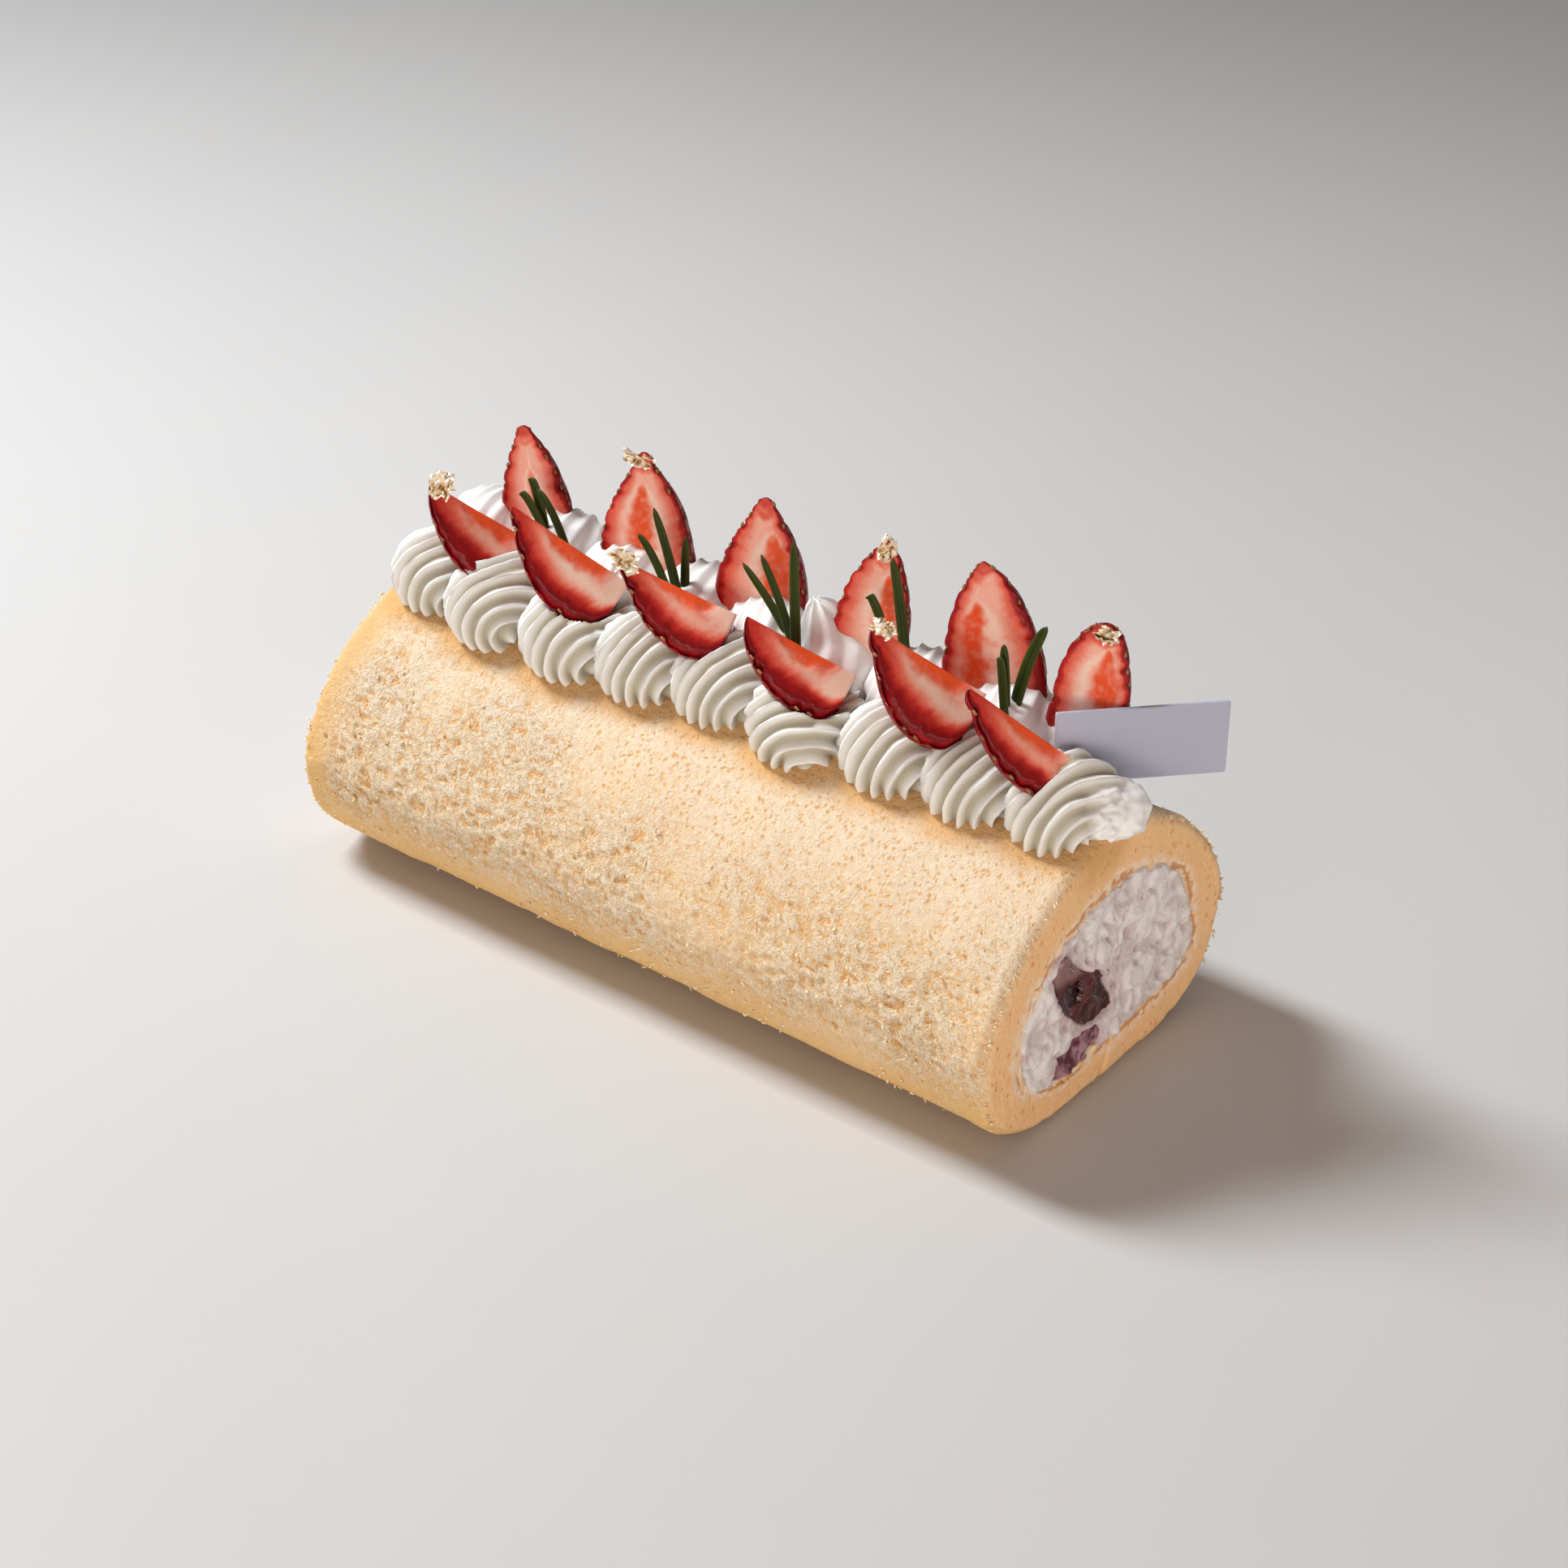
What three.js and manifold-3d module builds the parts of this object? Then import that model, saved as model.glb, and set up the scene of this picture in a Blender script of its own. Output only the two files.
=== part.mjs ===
// Swiss roll cake with piped cream, cut strawberries, rosemary needles and a small plaque.
// Millimetres, +Z up. The roll lies along X on its flat underside, with the origin in the middle
// of that underside. The front row of toppings is on the -Y side.
import * as THREE from 'three';
import { mergeVertices } from 'three/addons/utils/BufferGeometryUtils.js';
import Module from 'manifold-3d';

const wasm = await Module();
wasm.setup();

// ---------------------------------------------------------------- driving dimensions

const GAP = 0.3; // clearance between pieces that touch
const TAU = 2 * Math.PI;

// The roll: a squashed round section with a flat foot.
const ROLL = {
  length: 185,
  halfWidth: 42.2,
  height: 59.7,
  widestAt: 24.5, // height of the widest place
  flatHalf: 14.2, // half width of the flat foot
  crownPower: 1.61, // below 2 the upper part is a little peaked
  footPower: 2.38, // above 2 the lower part is full
  edgeRound: 1, // rounded rim of both cut ends
};
// The skin of the sponge stands out and in by these waves, long ones first.
const SKIN_WAVES = [
  { height: 0.24, length: 107, twist: 0, sway: 2 },
  { height: 0.16, length: 46, twist: 5, sway: 0 },
];

// The core of cream that the sponge is rolled round, as a smooth outline in (y, z).
const CORE_OUTLINE = [
  [-27.9, 16.1], [-21.5, 10.2], [-12, 8.9], [0, 10.3], [14.6, 12.2], [25.5, 14],
  [29, 20], [25.3, 32.8], [20.5, 39], [11.1, 43.6], [2.8, 44.8], [-8, 43.4],
  [-17.7, 38.7], [-25.5, 31.5], [-28.7, 23.7],
];
const CORE_CORNERS = 24;

// The seam where the two ends of the sponge sheet meet under the core.
const SEAM = { width: 0.5, top: [2.2, 10.6], bend: [-0.4, 3.6], bottom: [-3, 0] };

// The fruit in the core, and the streak of jam beside it, as outlines in (y, z).
const FRUIT_OUTLINE = [
  [-16.7, 38.1], [-11.6, 32.4], [-7.1, 29.3], [-3.7, 28], [-1.5, 23.4], [1.3, 18],
  [-3.9, 16.6], [-8.2, 17.6], [-12.3, 21.6], [-16.7, 25.9], [-18.8, 31.4], [-19.1, 34.7],
];
const JAM_OUTLINE = [
  [-17.6, 7], [-17.2, 13.2], [-11.3, 14.9], [-5.8, 15.6], [-2.6, 14.4], [-4, 7],
];

// Piped cream: ridged bulbs in two rows that meet over the middle of the roll.
const SWIRL = {
  halfLength: 12.3, // along the roll
  halfDepth: 11.2, // across the roll
  halfHeight: 10.6,
  ridgeStep: 18, // degrees from one ridge to the next
  eye: 14, // degrees from the pole to the first valley
  ridgeDepth: 1.3,
  columns: 10,
  tail: 0.22, // how far the tail stands out, as a share of the reach
  tailNarrowness: 5,
  backFade: 29, // degrees over which the ridges fade out at the far pole
};
// Direction of the pole that the ridges of a front swirl run round, and of its pulled tail.
const FRONT_POLE = [0.92, -0.3, -0.25];
const TAIL_DIRECTION = [0.45, 0.62, 0.64];
// The last front swirl is drawn out over the furrow in a smooth smear.
const SMEAR = { direction: [0.64, 0.76, -0.06], reach: 5.5, narrowness: 4 };
// One back swirl ends in a tall peak.
const PEAK = { direction: [-0.26, 0.26, 0.93], reach: 6, narrowness: 14 };
const ROW_SPLIT = 1; // y of the furrow between the rows

// Each row's middle, and for each swirl the x of its middle, its offset towards the back, its
// size and its turn in degrees.
const FRONT_ROW = {
  side: -1,
  y: -8,
  z: 60.3,
  swirls: [
    { x: -79.9, y: 0.7, size: 1, turn: -15 },
    { x: -60.3, y: -2.4, size: 1.04, turn: -13 },
    { x: -38.2, y: -2.6, size: 1.04, turn: -4 },
    { x: -19, y: -0.9, size: 1, turn: 3 },
    { x: 0.2, y: 1.3, size: 1.01, turn: -2 },
    { x: 22.2, y: -1.3, size: 1, turn: 0, pole: [0.587, -0.563, -0.565] },
    { x: 43.6, y: 2, size: 1.02, turn: -2 },
    { x: 63.1, y: 2.4, size: 0.98, turn: 2 },
    { x: 82, y: 3.2, size: 0.96, turn: 0, tail: 0, smeared: true },
  ],
};
const BACK_ROW = {
  side: 1,
  y: 10,
  z: 63.6,
  swirls: [
    { x: -80.5, y: 0, size: 1.02, turn: 3 },
    { x: -60, y: 0.4, size: 1.07, turn: -3 },
    { x: -40.5, y: -0.3, size: 1.03, turn: 5 },
    { x: -20.5, y: 0.5, size: 1.05, turn: 0 },
    { x: -0.5, y: 0, size: 1.03, turn: -5 },
    { x: 18, y: 0.3, size: 1.05, turn: 4, tail: 0, peaked: true },
    { x: 38.5, y: -0.2, size: 1.04, turn: -2 },
    { x: 59.5, y: 0.4, size: 1.06, turn: 2 },
    { x: 73.5, y: 2.6, size: 0.95, turn: 0, tail: 0 },
  ],
};

// Cut strawberries: base and tip of the core line, the greatest radius, how blunt the tip is (a
// lower power is blunter), and the normal of the cut face that shows. A quarter lies in the front
// row. A half stands in the back row, and its skew makes it fuller towards +X.
const QUARTER_FACE = [0.56, -0.44, 0.7];
const QUARTERS = [
  { base: [-57.5, 0.5, 71.1], tip: [-77.2, -12.4, 85.1], radius: 13.3, tipPower: 0.8 },
  { base: [-29.9, -2, 72.1], tip: [-52.7, -12.7, 87.4], radius: 13.3, tipPower: 0.95 },
  { base: [0.1, -2.8, 75.1], tip: [-22.3, -13.2, 84.8], radius: 12, tipPower: 1.03 },
  { base: [30.6, -2.4, 71.5], tip: [10.6, -12.6, 82.5], radius: 12, tipPower: 0.67 },
  { base: [61.8, -2.1, 78.1], tip: [42.3, -13, 91], radius: 14.7, tipPower: 0.95 },
  { base: [84.1, -1.3, 70.1], tip: [65.4, -13.1, 85.7], radius: 10.2, tipPower: 0.86, angle: 60 },
];
const HALF_FACE = [0.306, -0.942, 0.139];
const HALVES = [
  { base: [-63.7, 7.4, 62], tip: [-70.4, 9.7, 92.5], radius: 8, skew: 0, tipPower: 0.86 },
  { base: [-34.3, 6.8, 62], tip: [-36.3, 10.8, 95.7], radius: 10.5, skew: 0.04, tipPower: 1 },
  { base: [-2.6, 6.9, 62], tip: [-2.6, 9.9, 95.7], radius: 9.8, skew: -0.02, tipPower: 1 },
  { base: [25.4, 6.7, 62], tip: [28.6, 10.2, 95.6], radius: 8, skew: -0.1, tipPower: 0.76 },
  { base: [55.3, 6.3, 62], tip: [51.3, 10.1, 98.4], radius: 10.4, skew: 0.2, tipPower: 0.74 },
  { base: [78.9, 8.7, 62], tip: [80.3, 10.6, 94.2], radius: 7.8, skew: -0.2, tipPower: 0.49 },
];
const BERRY = {
  widestAt: 0.28, // share of the length, from the cut base
  baseRadius: 0.8, // share of the greatest radius
  rows: 6,
  rowCrowding: 1.35, // above 1 the rows draw together towards the tip
  halfColumns: 7,
  quarterColumns: 5,
};
// Scraps of gold leaf on some tips: the strawberry's name, the scrap's middle, width and height.
const FLAKE = {
  thickness: 0.6,
  crumple: 0.8,
  ragged: 0.25,
  cells: 2,
  face: [0.45, -0.75, 0.48],
  up: [0.2, 0.3, 1],
};
const FLAKES = {
  strawberry_front_1: { at: [-74.4, -11.4, 84.4], size: [5.5, 7] },
  strawberry_front_3: { at: [-21.5, -12.3, 83.6], size: [6.2, 4.6] },
  strawberry_front_5: { at: [44.6, -12.1, 90.3], size: [5, 4] },
  strawberry_back_2: { at: [-36.9, 9.9, 93.9], size: [6.5, 3.8] },
  strawberry_back_4: { at: [28.8, 9.8, 94.4], size: [4, 5.2] },
  strawberry_back_6: { at: [80.3, 10.3, 92.2], size: [4.4, 3.8] },
};

// Rosemary needles: the tip and a place on the way down, [x, y, z]. Below that place a needle
// leans half as much, and its root is in the cream.
const NEEDLE = {
  width: 2.3,
  thickness: 1.1,
  rootHeight: 62.6,
  rootWidth: 0.7, // shares of the width
  tipWidth: 0.3,
  taperFrom: 0.8, // share of the length, from the root
  stations: 3,
};
const NEEDLES = [
  { tip: [-64, 1.5, 81.3], bend: [-59, 1.5, 77.1] },
  { tip: [-62.4, 3.2, 84.9], bend: [-59.6, 3.2, 78], width: 2.7 },
  { tip: [-57.2, 0.1, 84.9], bend: [-50.6, 0.1, 75.5] },
  { tip: [-31, 2.4, 81.7], bend: [-24.5, 2.4, 73.4] },
  { tip: [-24.9, 0.6, 90.1], bend: [-19.4, 0.6, 74.3], width: 2.6 },
  { tip: [-18, 2.6, 85], bend: [-18.6, 2.6, 72.1] },
  { tip: [-2.8, 2.6, 83.8], bend: [8.6, 2.6, 71.7] },
  { tip: [3.4, 1, 88.2], bend: [10.7, 1, 73] },
  { tip: [13.3, -0.9, 95.3], bend: [13.8, -0.9, 73.2], width: 2.7 },
  { tip: [28.7, 3.4, 85.6], bend: [32.3, 3.4, 81.4] },
  { tip: [36, 1.5, 97.6], bend: [39.1, 1.5, 80.8], width: 2.7 },
  { tip: [62.3, 2.4, 87.2], bend: [63.1, 2.4, 75.9] },
  { tip: [62.4, 0.9, 85.1], bend: [63.6, 0.9, 78.2], width: 2 },
  { tip: [70.7, 4.2, 93.1], bend: [65.5, 4.2, 79.1], width: 2.7 },
];

// The plaque stands on edge: its left end in (x, y), its lower edge and its heading in degrees.
const PLAQUE = { length: 34, height: 15.6, thickness: 1, left: [76.5, 0], bottom: 62.8, heading: 47 };

// ---------------------------------------------------------------- materials

const paint = (color, roughness, metalness = 0) =>
  new THREE.MeshStandardMaterial({ color, roughness, metalness });
const MATERIALS = {
  sponge: paint('#f2cf97', 0.95),
  filling: paint('#eddfe3', 0.6),
  fruit: paint('#4a1320', 0.25),
  jam: paint('#8d6a86', 0.4),
  cream: paint('#f6f4ee', 0.45),
  berry: paint('#c8322a', 0.3),
  needle: paint('#35502c', 0.55),
  plaque: paint('#f1f0f6', 0.35),
};

// ---------------------------------------------------------------- shape helpers

const vector = ([x, y, z]) => new THREE.Vector3(x, y, z);
const degrees = THREE.MathUtils.degToRad;
const signedPower = (value, power) => Math.sign(value) * Math.abs(value) ** power;

// A closed mesh from points and triangles, turned so that its faces point out.
function closedGeometry(points, triangles) {
  const volume = triangles.reduce((sum, [a, b, c]) => {
    const cross = new THREE.Vector3().crossVectors(points[b], points[c]);
    return sum + points[a].dot(cross);
  }, 0);
  const faces = volume < 0 ? triangles.map(([a, b, c]) => [a, c, b]) : triangles;
  const geometry = new THREE.BufferGeometry().setFromPoints(points);
  geometry.setIndex(faces.flat());
  geometry.computeVertexNormals();
  return geometry;
}

// Triangles that fill an outline, wound as the outline is.
function capTriangles(outline) {
  const turning = Math.sign(THREE.ShapeUtils.area(outline));
  return THREE.ShapeUtils.triangulateShape(outline, []).map(([a, b, c]) => {
    const same = Math.sign(THREE.ShapeUtils.area([outline[a], outline[b], outline[c]])) === turning;
    return same ? [a, b, c] : [a, c, b];
  });
}

// Rings of equally many points, joined one to the next and capped by the given triangles.
function loft(rings, cap) {
  const count = rings[0].length;
  const points = rings.flat();
  const last = (rings.length - 1) * count;
  const triangles = cap.map(([a, b, c]) => [a, c, b]).concat(cap.map((t) => t.map((k) => k + last)));
  for (let row = 0; row < rings.length - 1; row += 1) {
    for (let k = 0; k < count; k += 1) {
      const a = row * count + k;
      const b = row * count + ((k + 1) % count);
      triangles.push([a, b, b + count], [a, b + count, a + count]);
    }
  }
  return closedGeometry(points, triangles);
}

function toSolid(geometry, matrix) {
  const bare = geometry.clone();
  if (matrix) bare.applyMatrix4(matrix);
  bare.deleteAttribute('normal');
  bare.deleteAttribute('uv');
  const merged = mergeVertices(bare, 1e-4);
  const order = matrix && matrix.determinant() < 0 ? [0, 2, 1] : [0, 1, 2];
  const corners = merged.index.array;
  return new wasm.Manifold(new wasm.Mesh({
    numProp: 3,
    vertProperties: new Float32Array(merged.attributes.position.array),
    triVerts: new Uint32Array(corners.length).map((_, k) => corners[k - (k % 3) + order[k % 3]]),
  }));
}

// The largest piece of a solid, as a geometry.
function toGeometry(solid) {
  const pieces = solid.decompose().sort((a, b) => b.volume() - a.volume());
  const mesh = pieces[0].getMesh();
  const geometry = new THREE.BufferGeometry();
  geometry.setAttribute('position', new THREE.BufferAttribute(new Float32Array(mesh.vertProperties), 3));
  geometry.setIndex(new THREE.BufferAttribute(new Uint32Array(mesh.triVerts), 1));
  geometry.computeVertexNormals();
  return geometry;
}

function named(name, geometry, material) {
  const mesh = new THREE.Mesh(geometry, MATERIALS[material]);
  mesh.name = name;
  return mesh;
}

// ---------------------------------------------------------------- the roll

// The outside of the roll in (y, z), anticlockwise from the left end of the flat foot.
function rollOutline(grow = 0) {
  const { halfWidth, height, widestAt, flatHalf, crownPower, footPower } = ROLL;
  const wide = halfWidth + grow;
  const foot = flatHalf + grow;
  const flank = (t, side) => new THREE.Vector2(
    side * (foot + (wide - foot) * signedPower(Math.cos(t), 2 / footPower)),
    widestAt - widestAt * signedPower(Math.sin(t), 2 / footPower),
  );
  const crown = (t) => new THREE.Vector2(
    wide * signedPower(Math.cos(t), 2 / crownPower),
    widestAt + (height + grow - widestAt) * signedPower(Math.sin(t), 2 / crownPower),
  );
  const outline = [];
  const flankSteps = 5;
  const crownSteps = 16;
  for (let k = flankSteps; k > 0; k -= 1) outline.push(flank(k / flankSteps * Math.PI / 2, 1));
  for (let k = 0; k <= crownSteps; k += 1) outline.push(crown(k / crownSteps * Math.PI));
  for (let k = 1; k <= flankSteps; k += 1) outline.push(flank(k / flankSteps * Math.PI / 2, -1));
  return outline;
}

function smoothOutline(points, count) {
  const curve = new THREE.CatmullRomCurve3(points.map(([y, z]) => new THREE.Vector3(y, z, 0)), true);
  return curve.getPoints(count).slice(0, count).map((p) => new THREE.Vector2(p.x, p.y));
}

// Moves an outline in by a distance, along the normal at each of its points.
function inset(outline, distance) {
  const turning = THREE.ShapeUtils.area(outline) > 0 ? 1 : -1;
  return outline.map((p, k) => {
    const before = outline[(k + outline.length - 1) % outline.length];
    const after = outline[(k + 1) % outline.length];
    const along = after.clone().sub(before).normalize();
    return new THREE.Vector2(p.x - along.y * distance * turning, p.y + along.x * distance * turning);
  });
}

// How far the skin of the sponge stands out at x and at the angle round the roll.
function skinWave(x, angle) {
  return SKIN_WAVES.reduce((sum, { height, length, twist, sway }) =>
    sum + height * Math.sin(x / length * TAU + twist * angle + sway * Math.sin(2 * angle)), 0);
}

function spongeGeometry() {
  const core = smoothOutline(CORE_OUTLINE, CORE_CORNERS);
  const split = (d) => [SEAM.top, SEAM.bend, SEAM.bottom].map(([y, z]) => new THREE.Vector2(y + d, z));
  const rightSide = split(SEAM.width / 2);
  const leftSide = split(-SEAM.width / 2);
  const seamY = SEAM.top[0];
  const coreStart = core.findIndex((p, k) =>
    p.x <= seamY && core[(k + 1) % core.length].x > seamY && p.y < ROLL.widestAt);
  const coreRound = core.map((_, k) => core[(coreStart + core.length - k) % core.length]);
  const outside = rollOutline();
  // One closed outline: round the outside from the seam to the seam, then back round the core.
  const closed = [
    rightSide[2], ...outside, leftSide[2], leftSide[1], leftSide[0],
    ...coreRound.slice(1, -1), rightSide[0], rightSide[1],
  ];
  const isSkin = closed.map((_, k) => k >= 1 && k <= outside.length);
  const half = ROLL.length / 2;
  const stations = [-half, -half + ROLL.edgeRound];
  const spans = 3;
  const footRim = 0.5; // the skin is flat up to this height
  for (let k = 1; k < spans; k += 1) stations.push(-half + k * ROLL.length / spans);
  stations.push(half - ROLL.edgeRound, half);
  const middle = new THREE.Vector2(0, ROLL.widestAt);
  const rings = stations.map((x) => {
    const atEnd = Math.abs(x) === half;
    return closed.map((p, k) => {
      if (!isSkin[k] || p.y < footRim) return new THREE.Vector3(x, p.x, p.y);
      const out = p.clone().sub(middle).normalize();
      const wave = skinWave(x, Math.atan2(out.y, out.x)) - (atEnd ? ROLL.edgeRound : 0);
      return new THREE.Vector3(x, p.x + out.x * wave, Math.max(0, p.y + out.y * wave));
    });
  });
  return loft(rings, capTriangles(closed));
}

// A solid that runs along the whole roll.
function runThrough(outline, reach = 0) {
  const half = ROLL.length / 2 + reach;
  const ring = (x) => outline.map((p) => new THREE.Vector3(x, p.x, p.y));
  return loft([ring(-half), ring(half)], capTriangles(outline));
}

function fillings() {
  const core = inset(smoothOutline(CORE_OUTLINE, CORE_CORNERS), GAP);
  const fruit = smoothOutline(FRUIT_OUTLINE, 18);
  const jam = smoothOutline(JAM_OUTLINE, 12);
  const coreSolid = toSolid(runThrough(core));
  const fruitRoom = toSolid(runThrough(inset(fruit, -GAP), 1));
  const jamRoom = toSolid(runThrough(inset(jam, -GAP), 1));
  const jamSolid = toSolid(runThrough(jam)).intersect(coreSolid).subtract(fruitRoom);
  return [
    named('filling_cream', toGeometry(coreSolid.subtract(fruitRoom).subtract(jamRoom)), 'filling'),
    named('filling_fruit', runThrough(fruit), 'fruit'),
    named('filling_jam', toGeometry(jamSolid), 'jam'),
  ];
}

// ---------------------------------------------------------------- piped cream

// From 0, square on or away, to 1, the same way.
const towards = (direction, other) => Math.max(0, direction.dot(other));

// Distance from a swirl's middle to its ridge tops, in a direction.
function swirlReach(direction, swirl) {
  const { halfLength, halfDepth, halfHeight } = SWIRL;
  const plain = Math.hypot(direction.x / halfLength, direction.y / halfDepth, direction.z / halfHeight);
  const tail = towards(direction, swirl.tailDirection) ** SWIRL.tailNarrowness;
  const smear = swirl.smeared ? towards(direction, swirl.smearDirection) ** SMEAR.narrowness : 0;
  const peak = swirl.peaked ? towards(direction, swirl.peakDirection) ** PEAK.narrowness : 0;
  const bulb = swirl.size / plain * (1 + (swirl.tail ?? SWIRL.tail) * tail);
  return bulb + SMEAR.reach * smear + PEAK.reach * peak;
}

// A swirl as rings round its pole; drop gives how far each ring lies below the ridge tops.
function swirlRings(swirl, ringAngles, columns, drop) {
  const across = new THREE.Vector3(0, 0, 1).cross(swirl.pole).normalize();
  const up = swirl.pole.clone().cross(across);
  const place = (polar, round) => {
    const direction = swirl.pole.clone().multiplyScalar(Math.cos(polar))
      .addScaledVector(across, Math.sin(polar) * Math.cos(round))
      .addScaledVector(up, Math.sin(polar) * Math.sin(round));
    const smoothed = swirl.smeared ? towards(direction, swirl.smearDirection) ** 2 : 0;
    const reach = swirlReach(direction, swirl) - drop(polar) * (1 - smoothed);
    return direction.multiplyScalar(reach).add(swirl.centre);
  };
  const points = [place(0, 0), place(Math.PI, 0)];
  const triangles = [];
  ringAngles.forEach((polar, row) => {
    for (let k = 0; k < columns; k += 1) {
      points.push(place(polar, k / columns * TAU));
      const here = 2 + row * columns + k;
      const next = 2 + row * columns + ((k + 1) % columns);
      if (row === 0) triangles.push([0, here, next]);
      else triangles.push([here - columns, here, next], [here - columns, next, next - columns]);
      if (row === ringAngles.length - 1) triangles.push([1, next, here]);
    }
  });
  return closedGeometry(points, triangles);
}

function swirlGeometry(swirl) {
  const step = degrees(SWIRL.ridgeStep);
  const first = degrees(SWIRL.eye);
  const angles = [];
  for (let polar = first; polar < Math.PI - first; polar += step / 2) angles.push(polar);
  const drop = (polar) => {
    const phase = (polar - first) / step;
    if (polar < first) return 0;
    const valley = Math.abs(2 * (phase - Math.floor(phase)) - 1);
    return SWIRL.ridgeDepth * valley * Math.min(1, (Math.PI - polar) / degrees(SWIRL.backFade));
  };
  return swirlRings(swirl, angles, SWIRL.columns, drop);
}

// A plain solid round a swirl, which makes room for it in its neighbour. It stands out enough
// for the middles of its flat faces to clear the swirl too.
function swirlRoom(swirl) {
  const rows = 7;
  const flatness = 0.9;
  const angles = Array.from({ length: rows }, (_, k) => (k + 1) / (rows + 1) * Math.PI);
  return toSolid(swirlRings(swirl, angles, SWIRL.columns, () => -(GAP + flatness)));
}

function placeSwirls(row) {
  const mirror = -row.side;
  const upright = new THREE.Vector3(0, 0, 1);
  const flip = ([x, y, z]) => new THREE.Vector3(x, y * mirror, z).normalize();
  return row.swirls.map((spec, k) => ({
    ...spec,
    name: `swirl_${row.side < 0 ? 'front' : 'back'}_${k + 1}`,
    centre: new THREE.Vector3(spec.x, row.y + spec.y, row.z),
    pole: flip(spec.pole ?? FRONT_POLE).applyAxisAngle(upright, degrees(spec.turn * mirror)),
    tailDirection: flip(TAIL_DIRECTION),
    smearDirection: flip(SMEAR.direction),
    peakDirection: flip(PEAK.direction),
  }));
}

// The space above the roll on one side of the furrow between the rows.
function sideSpace(side) {
  const size = 120;
  const box = new THREE.BoxGeometry(size * 2, size, size);
  box.translate(0, ROW_SPLIT + side * (size / 2 + GAP / 2), ROLL.height);
  return toSolid(box);
}

// Every swirl of a row, cut by the roll, by the next swirl and by what is pushed into it. Only a
// smeared swirl crosses the furrow.
function swirlMeshes(swirls, side, roll, rooms) {
  const space = sideSpace(side);
  return swirls.map((swirl, k) => {
    let solid = toSolid(swirlGeometry(swirl)).subtract(roll);
    if (!swirl.smeared) solid = solid.intersect(space);
    if (k + 1 < swirls.length) solid = solid.subtract(swirlRoom(swirls[k + 1]));
    rooms.forEach((room) => {
      solid = solid.subtract(room);
    });
    return named(swirl.name, toGeometry(solid), 'cream');
  });
}

// ---------------------------------------------------------------- strawberries

// Radius of a strawberry along its core, from 0 at the cut base to 1 at the tip.
function berryRadius(along, tipPower) {
  const { widestAt, baseRadius } = BERRY;
  if (along < widestAt) return 1 - (1 - baseRadius) * ((widestAt - along) / widestAt) ** 2;
  return (1 - ((along - widestAt) / (1 - widestAt)) ** 2) ** tipPower;
}

// A strawberry cut along its core: a wedge of the given angle, with the core along +Z from the
// base, and the cut face that shows in the plane y = 0, facing -Y.
function berryGeometry(length, { radius, tipPower, skew = 0 }, angle, columns, grow = 0) {
  const { rows, rowCrowding } = BERRY;
  const skinGrow = 2.5 * grow; // more than enough, because the whole piece is moved by faceMove
  const isHalf = angle === Math.PI;
  const faceMove = new THREE.Vector3(isHalf ? 0 : -grow, -grow, 0);
  const ringSize = columns + (isHalf ? 1 : 2);
  const points = [];
  const triangles = [];
  for (let row = 0; row < rows; row += 1) {
    const along = 1 - (1 - row / rows) ** rowCrowding;
    const evenRadius = radius * berryRadius(along, tipPower);
    const z = along * length - (row === 0 ? grow : 0);
    for (let k = 0; k <= columns; k += 1) {
      const turn = k / columns * angle;
      const r = evenRadius * (1 + skew * Math.cos(turn)) + skinGrow;
      points.push(new THREE.Vector3(r * Math.cos(turn), r * Math.sin(turn), z).add(faceMove));
    }
    if (!isHalf) points.push(new THREE.Vector3(0, 0, z).add(faceMove));
  }
  const tip = points.length;
  points.push(new THREE.Vector3(0, 0, length + grow));
  for (let row = 0; row < rows; row += 1) {
    for (let k = 0; k < ringSize; k += 1) {
      const a = row * ringSize + k;
      const b = row * ringSize + ((k + 1) % ringSize);
      if (row === rows - 1) triangles.push([a, b, tip]);
      else triangles.push([a, b, b + ringSize], [a, b + ringSize, a + ringSize]);
    }
  }
  for (let k = 1; k < ringSize - 1; k += 1) triangles.push([0, k + 1, k]);
  return closedGeometry(points, triangles);
}

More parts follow.
